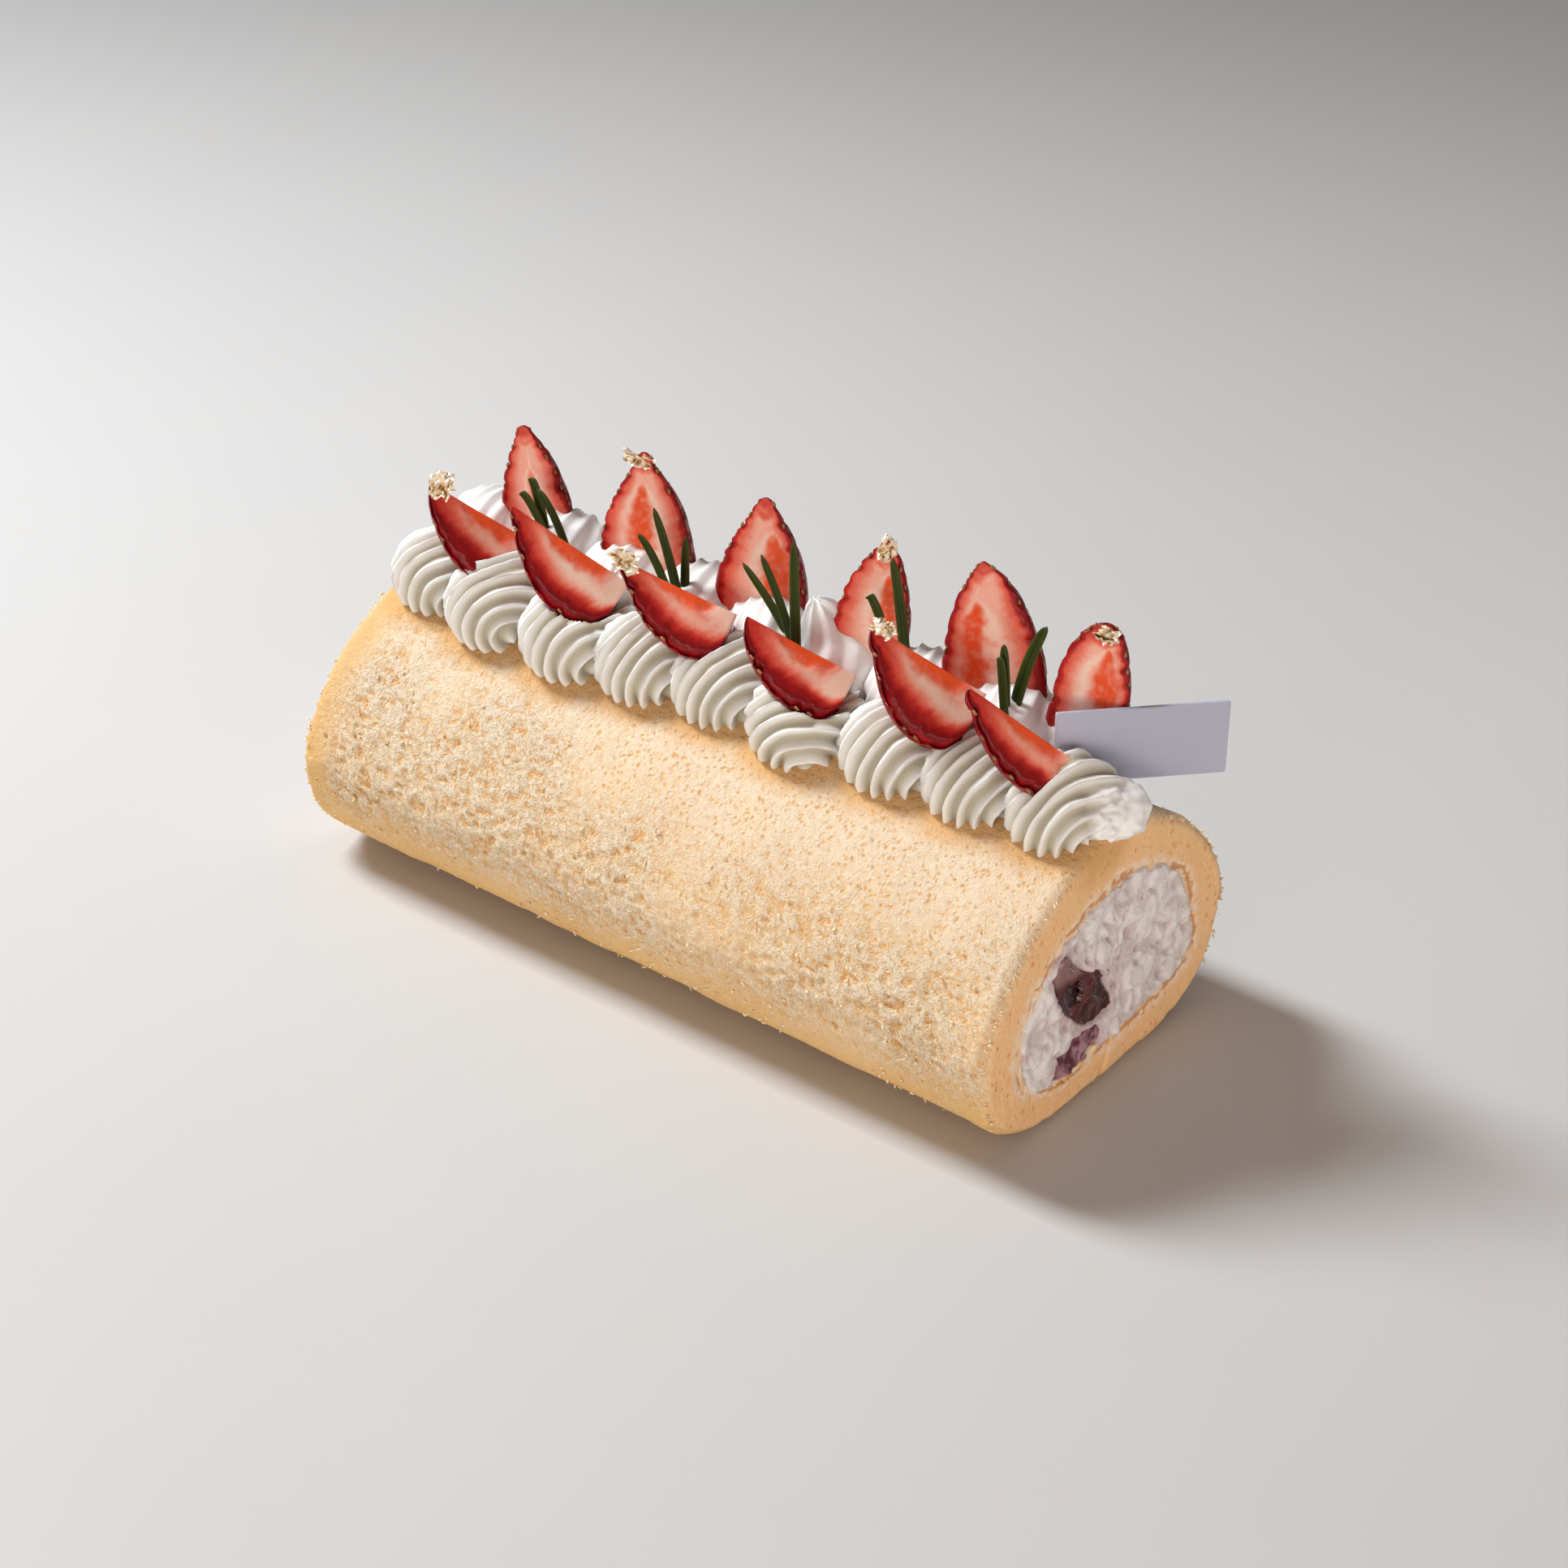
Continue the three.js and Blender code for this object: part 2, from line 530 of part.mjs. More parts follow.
// A crumpled scrap of gold leaf, in the plane z = 0.
function flakeGeometry([width, height], seed) {
  const { thickness, crumple, ragged, cells } = FLAKE;
  const point = (u, v, side) => new THREE.Vector3(
    (u - 0.5) * width * (1 + ragged * Math.sin(seed + 5 * v)),
    (v - 0.5) * height * (1 + ragged * Math.cos(seed * 2 + 4 * u)),
    crumple * Math.sin(seed * 3 + u * 5) * Math.cos(seed + v * 6) + side * thickness / 2,
  );
  const points = [];
  const triangles = [];
  const wide = cells + 1;
  const index = (i, j, side) => (side > 0 ? wide * wide : 0) + i * wide + j;
  for (const side of [-1, 1]) {
    for (let i = 0; i < wide; i += 1) {
      for (let j = 0; j < wide; j += 1) points.push(point(i / cells, j / cells, side));
    }
  }
  for (let i = 0; i < cells; i += 1) {
    for (let j = 0; j < cells; j += 1) {
      for (const side of [-1, 1]) {
        const [a, b] = [index(i, j, side), index(i + 1, j, side)];
        const [c, d] = [index(i + 1, j + 1, side), index(i, j + 1, side)];
        if (side > 0) triangles.push([a, b, c], [a, c, d]);
        else triangles.push([a, c, b], [a, d, c]);
      }
    }
    const edges = [
      [index(i, 0, -1), index(i + 1, 0, -1), index(i + 1, 0, 1), index(i, 0, 1)],
      [index(i + 1, cells, -1), index(i, cells, -1), index(i, cells, 1), index(i + 1, cells, 1)],
      [index(0, i + 1, -1), index(0, i, -1), index(0, i, 1), index(0, i + 1, 1)],
      [index(cells, i, -1), index(cells, i + 1, -1), index(cells, i + 1, 1), index(cells, i, 1)],
    ];
    edges.forEach(([a, b, c, d]) => triangles.push([a, b, c], [a, c, d]));
  }
  return closedGeometry(points, triangles);
}

// Axes of a flat thing that faces one way and whose length runs along another.
function facing(face, along) {
  const up = vector(along).normalize();
  const out = vector(face).addScaledVector(up, -vector(face).dot(up)).normalize();
  return { up, out, side: new THREE.Vector3().crossVectors(up, out) };
}

// Places a cut strawberry: its core from base to tip, its cut face facing out. A quarter hangs
// below its core, so its skin starts on the lower side of the cut face.
function berryMatrix({ base, tip }, face, hangs) {
  const { up, out, side } = facing(face, vector(tip).sub(vector(base)).toArray());
  if (hangs && side.z > 0) side.negate();
  return new THREE.Matrix4().makeBasis(side, out.negate(), up).setPosition(vector(base));
}

function berry(name, spec, face, angle, columns, seed) {
  const length = vector(spec.tip).distanceTo(vector(spec.base));
  const matrix = berryMatrix(spec, face, angle < Math.PI);
  const build = (grow) => toSolid(berryGeometry(length, spec, angle, columns, grow), matrix);
  let solid = build(0);
  const flake = FLAKES[name];
  if (flake) {
    const { up, out, side } = facing(FLAKE.face, FLAKE.up);
    const place = new THREE.Matrix4().makeBasis(side, up, out).setPosition(vector(flake.at));
    solid = solid.add(toSolid(flakeGeometry(flake.size, seed), place));
  }
  return { mesh: named(name, toGeometry(solid), 'berry'), room: build(GAP) };
}

// ---------------------------------------------------------------- rosemary and plaque

// A needle as a bent flat tube with six corners, along a curve from its root to its tip. A grown
// one, which makes room for the needle, has four corners.
function needleGeometry(spec, grow = 0) {
  const tip = vector(spec.tip);
  const bend = vector(spec.bend);
  const drop = bend.z - NEEDLE.rootHeight + grow;
  const lean = (bend.x - tip.x) / (tip.z - bend.z) / 2;
  const root = bend.clone().add(new THREE.Vector3(lean * drop, 0, -drop));
  const along = tip.clone().sub(bend).normalize();
  const flat = new THREE.Vector3(0, 1, 0).cross(along).normalize();
  const face = along.clone().cross(flat);
  const curve = new THREE.CatmullRomCurve3([root, bend, tip.addScaledVector(along, grow)]);
  const halfWidth = (spec.width ?? NEEDLE.width) / 2;
  const rings = curve.getSpacedPoints(NEEDLE.stations).map((middle, k) => {
    const t = k / NEEDLE.stations;
    const swell = NEEDLE.rootWidth + (1 - NEEDLE.rootWidth) * Math.sin(Math.PI * t);
    const tapering = Math.max(0, (t - NEEDLE.taperFrom) / (1 - NEEDLE.taperFrom));
    const taper = 1 - (1 - NEEDLE.tipWidth) * tapering ** 2;
    const w = halfWidth * swell * taper + grow;
    const h = NEEDLE.thickness / 2 * taper + grow;
    const section = grow
      ? [[w, h], [-w, h], [-w, -h], [w, -h]]
      : [[w, 0], [w / 2, h], [-w / 2, h], [-w, 0], [-w / 2, -h], [w / 2, -h]];
    return section.map(([u, v]) => middle.clone().addScaledVector(flat, u).addScaledVector(face, v));
  });
  return loft(rings, rings[0].slice(2).map((_, k) => [0, k + 1, k + 2]));
}

function plaqueGeometry(grow = 0) {
  const { length, thickness, height } = PLAQUE;
  return new THREE.BoxGeometry(length + 2 * grow, thickness + 2 * grow, height + 2 * grow);
}

function plaqueMesh() {
  const mesh = named('plaque', plaqueGeometry(), 'plaque');
  const heading = degrees(PLAQUE.heading);
  mesh.position.set(
    PLAQUE.left[0] + Math.cos(heading) * PLAQUE.length / 2,
    PLAQUE.left[1] + Math.sin(heading) * PLAQUE.length / 2,
    PLAQUE.bottom + PLAQUE.height / 2,
  );
  mesh.rotation.z = heading;
  mesh.updateMatrix();
  return mesh;
}

// ---------------------------------------------------------------- the cake

const cake = new THREE.Group();
cake.add(named('sponge', spongeGeometry(), 'sponge'), ...fillings());

const quarters = QUARTERS.map((spec, k) => {
  const angle = degrees(spec.angle ?? 90);
  return berry(`strawberry_front_${k + 1}`, spec, QUARTER_FACE, angle, BERRY.quarterColumns, k + 1);
});
const halves = HALVES.map((spec, k) =>
  berry(`strawberry_back_${k + 1}`, spec, HALF_FACE, Math.PI, BERRY.halfColumns, k + 1.5));
const plaque = plaqueMesh();
const needles = NEEDLES.map((spec, k) => named(`rosemary_${k + 1}`, needleGeometry(spec), 'needle'));

const waveHeight = SKIN_WAVES.reduce((sum, wave) => sum + wave.height, 0);
const rollSolid = toSolid(runThrough(rollOutline(GAP + waveHeight), 20));
const rooms = [
  ...quarters.map((piece) => piece.room),
  ...halves.map((piece) => piece.room),
  ...NEEDLES.map((spec) => toSolid(needleGeometry(spec, GAP))),
  toSolid(plaqueGeometry(GAP), plaque.matrix),
];
const frontSwirls = placeSwirls(FRONT_ROW);
const smearRooms = frontSwirls.filter((swirl) => swirl.smeared).map(swirlRoom);
cake.add(...swirlMeshes(frontSwirls, FRONT_ROW.side, rollSolid, rooms));
cake.add(...swirlMeshes(placeSwirls(BACK_ROW), BACK_ROW.side, rollSolid, [...rooms, ...smearRooms]));
cake.add(...quarters.map((piece) => piece.mesh), ...halves.map((piece) => piece.mesh));
cake.add(...needles, plaque);

export default cake;
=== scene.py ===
"""Swiss roll cake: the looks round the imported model.

Shapes are worked out in millimetres, in the frame of the model, and written as metres. The roll
lies along X, +Z is up, and the front row of toppings is on the -Y side.
"""

import itertools
import math

import bpy
import numpy as np
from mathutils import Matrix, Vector
from mathutils.bvhtree import BVHTree


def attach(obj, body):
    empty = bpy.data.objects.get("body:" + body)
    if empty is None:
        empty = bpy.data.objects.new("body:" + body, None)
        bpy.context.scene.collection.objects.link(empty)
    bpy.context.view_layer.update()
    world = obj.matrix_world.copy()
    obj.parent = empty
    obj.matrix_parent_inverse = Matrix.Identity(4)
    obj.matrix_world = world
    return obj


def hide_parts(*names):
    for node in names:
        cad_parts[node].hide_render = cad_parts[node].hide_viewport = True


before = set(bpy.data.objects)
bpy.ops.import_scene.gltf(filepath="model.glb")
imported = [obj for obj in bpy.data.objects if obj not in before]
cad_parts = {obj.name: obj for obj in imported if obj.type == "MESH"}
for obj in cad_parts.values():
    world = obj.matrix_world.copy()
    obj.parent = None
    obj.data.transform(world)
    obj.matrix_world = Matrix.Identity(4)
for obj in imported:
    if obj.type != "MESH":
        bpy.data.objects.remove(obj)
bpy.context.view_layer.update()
MM = 0.001
TAU = 2 * math.pi

# ---- driving dimensions (mm)

# The roll: half its length and width, its height, where it is widest, half the width of the flat
# under it, how full it is above and below, and the rounding of its ends.
HALF_LENGTH, HALF_WIDTH, ROLL_HEIGHT = 92.5, 42.2, 59.7
WIDEST_AT, FLAT_HALF = 24.5, 14.2
CROWN_POWER, FOOT_POWER = 1.61, 2.38
RIM = 3.0
CORE_OUTLINE = [
    (-27.9, 16.1), (-21.5, 10.2), (-12, 8.9), (0, 10.3), (14.6, 12.2), (25.5, 14),
    (29, 20), (25.3, 32.8), (20.5, 39), (11.1, 43.6), (2.8, 44.8), (-8, 43.4),
    (-17.7, 38.7), (-25.5, 31.5), (-28.7, 23.7),
]
SEAM = np.array([(2.2, 10.6), (-0.4, 3.6), (-3, 0)])
SPONGE_STATIONS = 286
FACE_STEPS = 34
CRUMBS = 3600
SPONGE_REACH = (1.0, 0.6, 0.35)
FRUIT_OUTLINE = [
    (-16.7, 38.1), (-11.6, 32.4), (-7.1, 29.3), (-3.7, 28), (-1.5, 23.4), (1.3, 18),
    (-3.9, 16.6), (-8.2, 17.6), (-12.3, 21.6), (-16.7, 25.9), (-18.8, 31.4), (-19.1, 34.7),
]
JAM_OUTLINE = [(-17.6, 8.8), (-17.2, 13.2), (-11.3, 14.9), (-5.8, 15.6), (-2.6, 14.4), (-4, 9.2)]

SWIRL_AXES = (12.3, 11.2, 10.6)
RIDGE_STEP = math.radians(18)
EYE = math.radians(14)
TAIL, TAIL_NARROWNESS = 0.27, 5
FRONT_POLE = (0.92, -0.3, -0.25)
TAIL_DIRECTION = (0.45, 0.62, 0.64)
# Each row: name, side, y and z of its middle, fineness of the meshes, depth of the ridges, strength
# of the painted shade in their valleys and whiteness, a painted light, then x, offset, size and turn
# (degrees) of each swirl.
ROWS = [
    ("front", -1, -8, 60.3, 1.0, 2.15, 1.0, 0.0, [
        (-79.9, 0.7, 1, -15), (-60.3, -2.4, 1.04, -13), (-38.2, -2.6, 1.04, -4),
        (-19, -0.9, 1, 3), (0.2, 1.3, 1.01, -2), (22.2, -1.3, 1, 0), (43.6, 2, 1.02, -2),
        (63.1, 2.4, 0.98, 2), (82, 3.2, 0.96, 0),
    ]),
    ("back", 1, 10, 63.6, 0.8, 1.0, 0.5, 0.5, [
        (-80.5, 0, 1.02, 3), (-60, 0.4, 1.07, -3), (-40.5, -0.3, 1.03, 5), (-20.5, 0.5, 1.05, 0),
        (-0.5, 0, 1.03, -5), (18, 0.3, 1.05, 4), (38.5, -0.2, 1.04, -2), (59.5, 0.4, 1.06, 2),
        (73.5, 2.6, 0.95, 0),
    ]),
]
SMEARED, PEAKED, TURNED = "swirl_front_9", "swirl_back_6", "swirl_front_6"
TAILLESS = {SMEARED, PEAKED, "swirl_back_9"}
ODD_POLES = {TURNED: (0.587, -0.563, -0.565), PEAKED: (-0.26, 0.26, 0.93)}
PEAK_REACH, PEAK_NARROWNESS = 6, 14
WIPED = (0.93, 0.3, 0.15)
# Lumps of the smeared swirl: direction, height, narrowness and raggedness.
LUMPS = [
    ((0.64, 0.76, -0.06), 5.5, 4, 0), ((0.77, 0.16, -0.62), -4.5, 3, 0),
    ((-0.05, 0.45, 0.88), 3.0, 5, 0), ((0.86, 0.5, 0.0), 2.8, 14, 0.5),
]

BERRY_WIDEST, BERRY_BASE = 0.28, 0.8
# Seeds of a wedge lower than this share of its length are left out, as cream covers them.
BARE_SHARE = 0.17
QUARTER_FACE = (0.56, -0.44, 0.7)
QUARTER_CORE = (0, 0.25, 0.16, 0.72)
# base, tip, radius, bluntness of the tip and angle (degrees) of each wedge in front, and how
# pale its flesh is.
QUARTERS = [
    ((-57.5, 0.5, 71.1), (-77.2, -12.4, 85.1), 13.3, 0.8, 90, 0.55),
    ((-29.9, -2, 72.1), (-52.7, -12.7, 87.4), 13.3, 0.95, 90, 1.0),
    ((0.1, -2.8, 75.1), (-22.3, -13.2, 84.8), 12, 1.03, 90, 0.5),
    ((30.6, -2.4, 71.5), (10.6, -12.6, 82.5), 12, 0.67, 90, 0.6),
    ((61.8, -2.1, 78.1), (42.3, -13, 91), 14.7, 0.95, 90, 0.9),
    ((84.1, -1.3, 70.1), (65.4, -13.1, 85.7), 10.2, 0.86, 60, 0.35),
]
HALF_FACE = (0.306, -0.942, 0.139)
# base, tip, radius, skew and bluntness of each half behind, then its core: where its middle is
# across (as a share of the radius), its width, and where along the berry it starts and ends.
HALVES = [
    ((-63.7, 7.4, 62), (-70.4, 9.7, 92.5), 8, 0, 0.86, (0.05, 0.16, 0.3, 0.7)),
    ((-34.3, 6.8, 62), (-36.3, 10.8, 95.7), 10.5, 0.04, 1, (-0.1, 0.32, 0.22, 0.8)),
    ((-2.6, 6.9, 62), (-2.6, 9.9, 95.7), 9.8, -0.02, 0.92, (0.34, 0.32, 0.22, 0.78)),
    ((25.4, 6.7, 62), (28.6, 10.2, 95.6), 8, -0.1, 0.76, (0.3, 0.34, 0.22, 0.8)),
    ((55.3, 6.3, 62), (51.3, 10.1, 98.4), 10.4, 0.2, 0.74, (-0.22, 0.34, 0.18, 0.78)),
    ((78.9, 8.7, 62), (80.3, 10.6, 94.2), 7.8, -0.2, 0.49, (0.2, 0.42, 0.22, 0.84)),
]
# Gold leaf: middle, width and height of each scrap.
GOLD = [
    ((-74, -11.6, 85.2), (5.5, 6.5)), ((-20.4, -13.6, 84.9), (6, 4.8)),
    ((44.8, -12.2, 90.7), (5, 3.6)), ((-37, 9.7, 94.2), (6.5, 3.2)),
    ((28.9, 9.6, 94.4), (3.8, 5.2)), ((81.4, 8.8, 92.8), (4.6, 3.2)),
]
GOLD_FACE = (0.45, -0.75, 0.48)

NEEDLE_THICKNESS, ROOT_HEIGHT = 1.1, 62.6
# x and z of the tip, x and z of the bend, y and width of each needle.
NEEDLES = [
    (-64, 81.3, -59, 77.1, 1.5, 2.3), (-62.4, 84.9, -59.6, 78, 3.2, 2.7),
    (-57.2, 84.9, -50.6, 75.5, 0.1, 2.3), (-31, 81.7, -24.5, 73.4, 2.4, 2.3),
    (-24.9, 90.1, -19.4, 74.3, 0.6, 2.6), (-18, 85, -18.6, 72.1, 2.6, 2.3),
    (-2.8, 83.8, 8.6, 71.7, 2.6, 2.3), (3.4, 88.2, 10.7, 73, 1, 2.3),
    (13.3, 95.3, 13.8, 73.2, -0.9, 2.7), (28.7, 85.6, 32.3, 81.4, 3.4, 2.3),
    (36, 97.6, 39.1, 80.8, 1.5, 2.7), (62.3, 87.2, 63.1, 75.9, 2.4, 2.3),
    (62.4, 85.1, 63.6, 78.2, 0.9, 2.0), (70.7, 93.1, 65.5, 79.1, 4.2, 2.7),
]

PLAQUE_LENGTH, PLAQUE_HEIGHT, PLAQUE_CORNER = 34, 15.6, 0.35
PLAQUE_START = (76.5, 0, 62.8 + PLAQUE_HEIGHT / 2)
PLAQUE_HEADING = math.radians(47)

# Each light: name, direction, distance (m), size (m), power and colour.
LIGHTS = [
    ("key", (-0.67, -0.08, 0.74), 1.3, (0.32, 0.55), 20.6, (0.95, 0.985, 1.0)),
    ("fill", (0.2, -0.95, 0.16), 1.2, (1.0, 0.4), 5.5, (1.0, 0.90, 0.80)),
    ("side", (0.95, -0.25, 0.12), 1.2, (0.8, 0.3), 3.2, (1.0, 0.88, 0.77)),
]
LIT_HEIGHT = 0.04
WORLD_COLOUR, WORLD_STRENGTH = (1.0, 0.80, 0.70, 1), 0.255
CAMERA_LENS, CAMERA_SENSOR, CAMERA_DISTANCE = 69.62, 36, 638
CAMERA_AZIMUTH, CAMERA_ELEVATION = math.radians(39.12), math.radians(31)
# The camera looks past its target, by so much to the right and up.
CAMERA_TARGET, CAMERA_SHIFT = Vector((0, 0, 35)), (7.85, -1.14)

# ---- numbers and noise


def unit(v):
    v = np.asarray(v, float)
    return v / np.linalg.norm(v, axis=-1, keepdims=True)


def smooth(low, high, x):
    """0 below low, 1 above high and an even slope between, also for low above high."""
    t = np.clip((x - low) / (high - low), 0, 1)
    return t * t * (3 - 2 * t)


def lattice(ix, iy, iz, seed):
    """A fixed number from 0 to 1 for each whole-number place."""
    mixed = (ix * 374761393 + iy * 668265263 + iz * 2246822519 + seed * 3266489917) & 0xFFFFFFFF
    mixed = ((mixed ^ (mixed >> 13)) * 1274126177) & 0xFFFFFFFF
    mixed = ((mixed ^ (mixed >> 15)) * 2246822519) & 0xFFFFFFFF
    return (mixed ^ (mixed >> 16)) / 4294967296.0


def noise(points, size, seed):
    """Smooth noise from -1 to 1, with bumps about as wide as size. size may differ by axis."""
    p = points / size
    cell = np.floor(p).astype(np.int64)
    f = p - cell
    f = f * f * (3 - 2 * f)
    total = np.zeros(len(p))
    for corner in itertools.product((0, 1), repeat=3):
        weight = np.ones(len(p))
        for axis in range(3):
            weight *= f[:, axis] if corner[axis] else 1 - f[:, axis]
        total += weight * lattice(*(cell[:, a] + corner[a] for a in range(3)), seed)
    return 2 * total - 1


def scattered(points, size, seed):
    """Distance to the nearest of points scattered about size apart, as a share of size, and
    that point's own number from 0 to 1."""
    p = points / size
    base = np.floor(p).astype(np.int64)
    best, luck = np.full(len(p), 9.0), np.zeros(len(p))
    for offset in itertools.product((-1, 0, 1), repeat=3):
        c = base + np.array(offset)
        x, y, z = c.T
        d = sum((c[:, k] + lattice(x, y, z, seed + k) - p[:, k]) ** 2 for k in range(3))
        near = d < best
        best = np.where(near, d, best)
        luck = np.where(near, lattice(x, y, z, seed + 7), luck)
    return np.sqrt(best), luck


def shaken(points, size, depth, seed):
    """The points, each moved by noise of three seeds."""
    return points + np.stack([noise(points, size, seed + k) for k in range(3)], -1) * depth


def resample(points, count):
    """Equally spaced points along a line."""
    along = np.concatenate([[0], np.cumsum(np.linalg.norm(np.diff(points, axis=0), axis=1))])
    at = np.linspace(0, along[-1], count)
    return np.stack([np.interp(at, along, values) for values in points.T], -1)


def rounded(corners, count):
    """A closed Catmull-Rom curve through the corners, as equally spaced points."""
    b = np.array(corners, float)[:, None]
    a, c, d = (np.roll(b, shift, 0) for shift in (1, -1, -2))
    t = np.linspace(0, 1, 24, endpoint=False)[:, None]
    curve = 0.5 * (2 * b + (c - a) * t + (2 * a - 5 * b + 4 * c - d) * t ** 2
                   + (3 * b - a - 3 * c + d) * t ** 3)
    curve = curve.reshape(-1, 2)
    return resample(np.vstack([curve, curve[:1]]), count + 1)[:-1]


def segment_distance(points, starts, ends):
    """Distance from each point to the nearest of some line segments."""
    along, away = ends - starts, points[:, None, :] - starts
    t = np.clip((away * along).sum(-1) / (along * along).sum(-1), 0, 1)
    return np.linalg.norm(away - along * t[..., None], axis=-1).min(1)


def outline_distance(points, outline):
    """Distance from each point to a closed outline, negative inside."""
    ends = np.roll(outline, -1, 0)
    distance = segment_distance(points, outline, ends)
    x, y = points[:, :1], points[:, 1:]
    (ax, ay), (bx, by) = outline.T, ends.T
    rise = np.where(by == ay, 1e-9, by - ay)
    crossed = ((ay > y) != (by > y)) & (x < ax + (bx - ax) * (y - ay) / rise)
    return np.where(crossed.sum(1) % 2 == 1, -distance, distance)


# ---- meshes


def grid_faces(rows, columns, closed=True):
    """Faces of a grid of points. In a closed one the last column meets the first."""
    r = np.arange(rows - 1)[:, None] * columns
    c = np.arange(columns if closed else columns - 1)
    left, right = r + c, r + (c + 1) % columns
    return np.stack([left, right, right + columns, left + columns], -1).reshape(-1, 4)


def fan(middle, ring):
    """Triangles from a middle point to a closed ring of points."""
    return np.stack([np.full(len(ring), middle), ring, np.roll(ring, -1)], -1)


def tube_faces(rows, columns):
    """Faces of rings of points, closed by one point for the first ring and one for the last."""
    count, ring = rows * columns, np.arange(columns)
    return [grid_faces(rows, columns), fan(count, ring)[:, ::-1],
            fan(count + 1, count - columns + ring)]


def at_turn(r, turn, height):
    """Points at a distance from an upright line, a turn round it and a height."""
    return np.stack([r * np.cos(turn), r * np.sin(turn), height], -1)


def ball_angles(rows, columns):
    """Angle from the pole and turn of a first point, rings of points and a last point."""
    polar = np.repeat(np.linspace(0, math.pi, rows + 2), [1] + [columns] * rows + [1])
    turn = np.tile(np.arange(columns) / columns * TAU, rows)
    return polar, np.concatenate([[0], turn, [0]])


def ball_faces(rows, columns):
    """Faces of the points of ball_angles: the body, then both ends."""
    last, ring = rows * columns + 1, np.arange(columns)
    return grid_faces(rows, columns) + 1, fan(0, 1 + ring), fan(last, last - columns + ring)[:, ::-1]


def together(shapes, tris):
    """The points of some shapes that have the same triangles, and the faces of them all."""
    size = len(shapes[0])
    return np.vstack(shapes), [np.vstack([tris + k * size for k in range(len(shapes))])]


def add_object(name, data):
    made = bpy.data.objects.new(name, data)
    bpy.context.scene.collection.objects.link(made)
    return made


def piece(name, points, faces, material, slot, replaces=(), flat=False, **attributes):
    """A mesh object from points in millimetres and arrays of faces, with number attributes."""
    name += "_look"
    mesh = bpy.data.meshes.new(name)
    mesh.from_pydata(points * MM, [], [face for group in faces for face in group.tolist()])
    mesh.validate()
    mesh.polygons.foreach_set("use_smooth", [not flat] * len(mesh.polygons))
    for key, values in attributes.items():
        mesh.attributes.new(key, "FLOAT", "POINT").data.foreach_set("value", values)
    mesh.materials.append(material)
    made = add_object(name, mesh)
    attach(made, "root")
    if replaces:
        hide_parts(*replaces)
    return made


# ---- materials


class Value:
    """A value in a material. Each sign that it is used with makes a math node."""

    def __init__(self, nodes, socket):
        self.nodes, self.socket = nodes, socket

    def __add__(self, other):
        return self.nodes.math("ADD", self, other)

    def __sub__(self, other):
        return self.nodes.math("SUBTRACT", self, other)

    def __rsub__(self, other):
        return self.nodes.math("SUBTRACT", other, self)

    def __mul__(self, other):
        return self.nodes.math("MULTIPLY", self, other)

    def __abs__(self):
        return self.nodes.math("ABSOLUTE", self)


